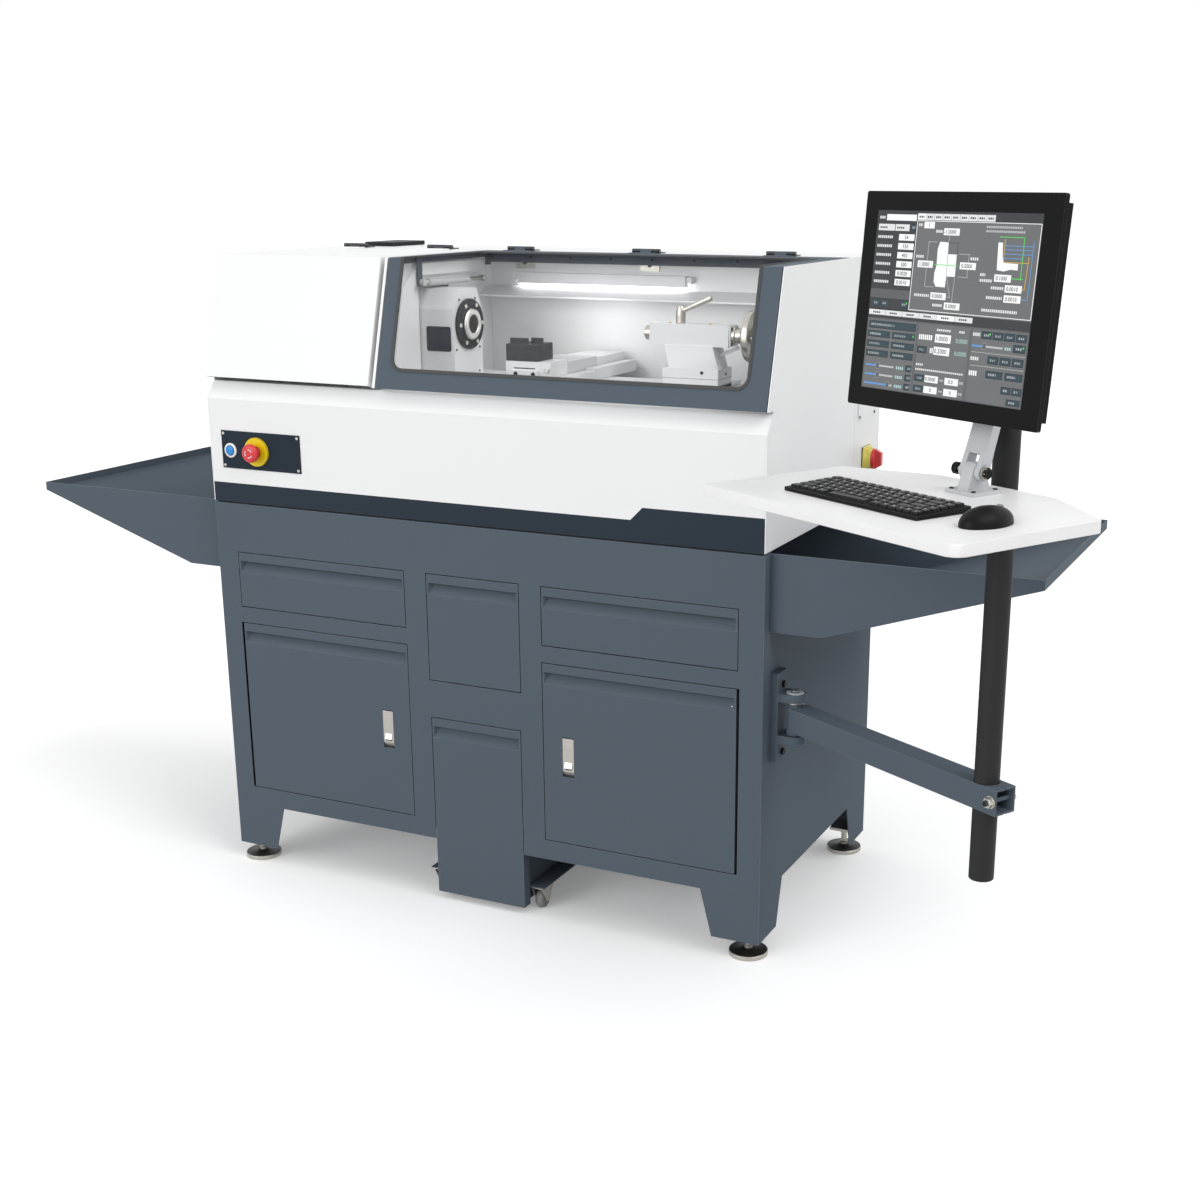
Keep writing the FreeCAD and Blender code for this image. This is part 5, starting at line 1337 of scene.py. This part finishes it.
for button in ((34.4, 73, 40.5, 76.9), (91.7, 67, 98.7, 71.2, "green"), (77.7, 82, 87.5, 86.1),
               (88.7, 82, 98.9, 86.1), (91.1, 95.6, 99, 99)):
    picture.button(*button)
picture.field("1.0000", 45, 65.7, 54.8, 70.2, 9.6)
picture.field("0.2000", 44.9, 72.6, 54.7, 77, 9.6)
for base in (69.4, 76.2):
    picture.digits_at("0.0000", 57.8, base, 9.0, "aqua")
for top, texts in ((88.7, ("0.0000", "0.0")), (94.7, ("0", "0"))):
    picture.button(34.4, top, 40.8, top + 3.9)
    for text, left in zip(texts, (41.2, 53.7)):
        picture.field(text, left, top, left + 8.4, top + 3.8, 8.0)
    picture.label(50.6, top + 1.9, 2.2, "grey", 0.5)
    picture.label(62.8, top + 1.9, 2.8, "grey", 0.7)
for i in range(4):
    picture.button(72.7 + i * 6.65, 61.5, 78.9 + i * 6.65, 65.7, "green" if i == 0 else None)
for i in range(3):
    picture.button(77.8 + i * 7.1, 74.3, 84.2 + i * 7.1, 78.6)
for i in range(2):
    picture.button(87.4 + i * 6.1, 89.4, 93.1 + i * 6.1, 93.4)
picture.slider(67.8, 85.9, 69.6, 0.4)
for y in (72.9, 80.1):
    picture.line("grey", 68, y, 99.1, y, 0.12)
picture.finish()
print("Display shapes:", sum(len(mesh.polygons) for mesh in bpy.data.meshes
                             if mesh.name.startswith("screen_")))

# %% [markdown]
# The studio is a white floor and a white surround. Both look white to the camera and
# in reflections because their shaders ask Light Path what kind of ray has come, while
# the light that they throw back on the machine stays moderate.

# %% Floor and surround
WORLD_LEVEL = 0.66


def seen_rays(tree):
    """1 for camera, glossy and transmission rays, and 0 for diffuse light."""
    path = tree.nodes.new("ShaderNodeLightPath")
    total = path.outputs["Is Camera Ray"]
    for ray in ("Is Glossy Ray", "Is Transmission Ray"):
        larger = tree.nodes.new("ShaderNodeMath")
        larger.operation = "MAXIMUM"
        tree.links.new(total, larger.inputs[0])
        tree.links.new(path.outputs[ray], larger.inputs[1])
        total = larger.outputs[0]
    return total


def floor_finish():
    graph = Graph("floor_white")
    seen = Value(graph, seen_rays(graph.tree))
    return graph.set(base_color=graph.mix(seen, (0.5, 0.5, 0.5, 1), (1.03, 1.03, 1.03, 1)), roughness=1.0,
                     specular_ior_level=0.0, emission_strength=1.0,
                     emission_color=graph.mix(seen, (0, 0, 0, 1), (0.18, 0.18, 0.18, 1)))


def world_light():
    world = bpy.data.worlds.new("studio")
    bpy.context.scene.world = world
    world.use_nodes = True
    tree = world.node_tree
    level = tree.nodes.new("ShaderNodeMapRange")
    level.inputs["To Min"].default_value = WORLD_LEVEL
    level.inputs["To Max"].default_value = 1.0
    tree.links.new(seen_rays(tree), level.inputs["Value"])
    tree.links.new(level.outputs[0], tree.nodes["Background"].inputs["Strength"])
    tree.nodes["Background"].inputs["Color"].default_value = (1, 1, 1, 1)


ground = bmesh.new()
bmesh.ops.create_grid(ground, x_segments=1, y_segments=1, size=40.0)
ground_data = bpy.data.meshes.new("floor")
ground.to_mesh(ground_data)
ground.free()
ground_data.materials.append(floor_finish())
floor = bpy.data.objects.new("floor", ground_data)
bpy.context.collection.objects.link(floor)
world_light()


# %% [markdown]
# Two very wide, distant lamps stand in for large softboxes: one low from the front left
# and one high from the right. A distant lamp lights the whole floor evenly, so no edge
# shows between floor and surround. A third, hidden lamp adds the work lamp's light on
# the splash wall. It is a light of the scene and not a part of the machine.

# %% Lamps
def distant_softbox(name, source, strength, spread=40):
    data = bpy.data.lights.new(name, "SUN")
    data.energy = strength
    data.angle = math.radians(spread)
    lamp = bpy.data.objects.new(name, data)
    lamp.rotation_euler = Vector(source).to_track_quat("Z", "Y").to_euler()
    bpy.context.collection.objects.link(lamp)


WORK_LIGHT_AT = (700, 330, 1222)
WORK_LIGHT_SIZE = (0.5, 0.06)            # in millimetres here, so it is nearly a point
WORK_LIGHT_WATTS = 0.06


def enclosure_lamp():
    data = bpy.data.lights.new("work_light", "AREA")
    data.shape = "RECTANGLE"
    data.size, data.size_y = WORK_LIGHT_SIZE
    data.energy = WORK_LIGHT_WATTS
    lamp = bpy.data.objects.new("work_light", data)
    lamp.matrix_world = MACHINE @ Matrix.Translation(WORK_LIGHT_AT)
    lamp.rotation_euler = Vector((0, -0.55, 0.8)).to_track_quat("Z", "Y").to_euler()
    lamp.visible_camera = False
    bpy.context.collection.objects.link(lamp)


distant_softbox("front_light", (-0.35, -0.90, 0.28), 1.2)
distant_softbox("side_light", (0.70, -0.12, 0.70), 1.12)
enclosure_lamp()
bpy.context.scene.view_settings.view_transform = "Standard"
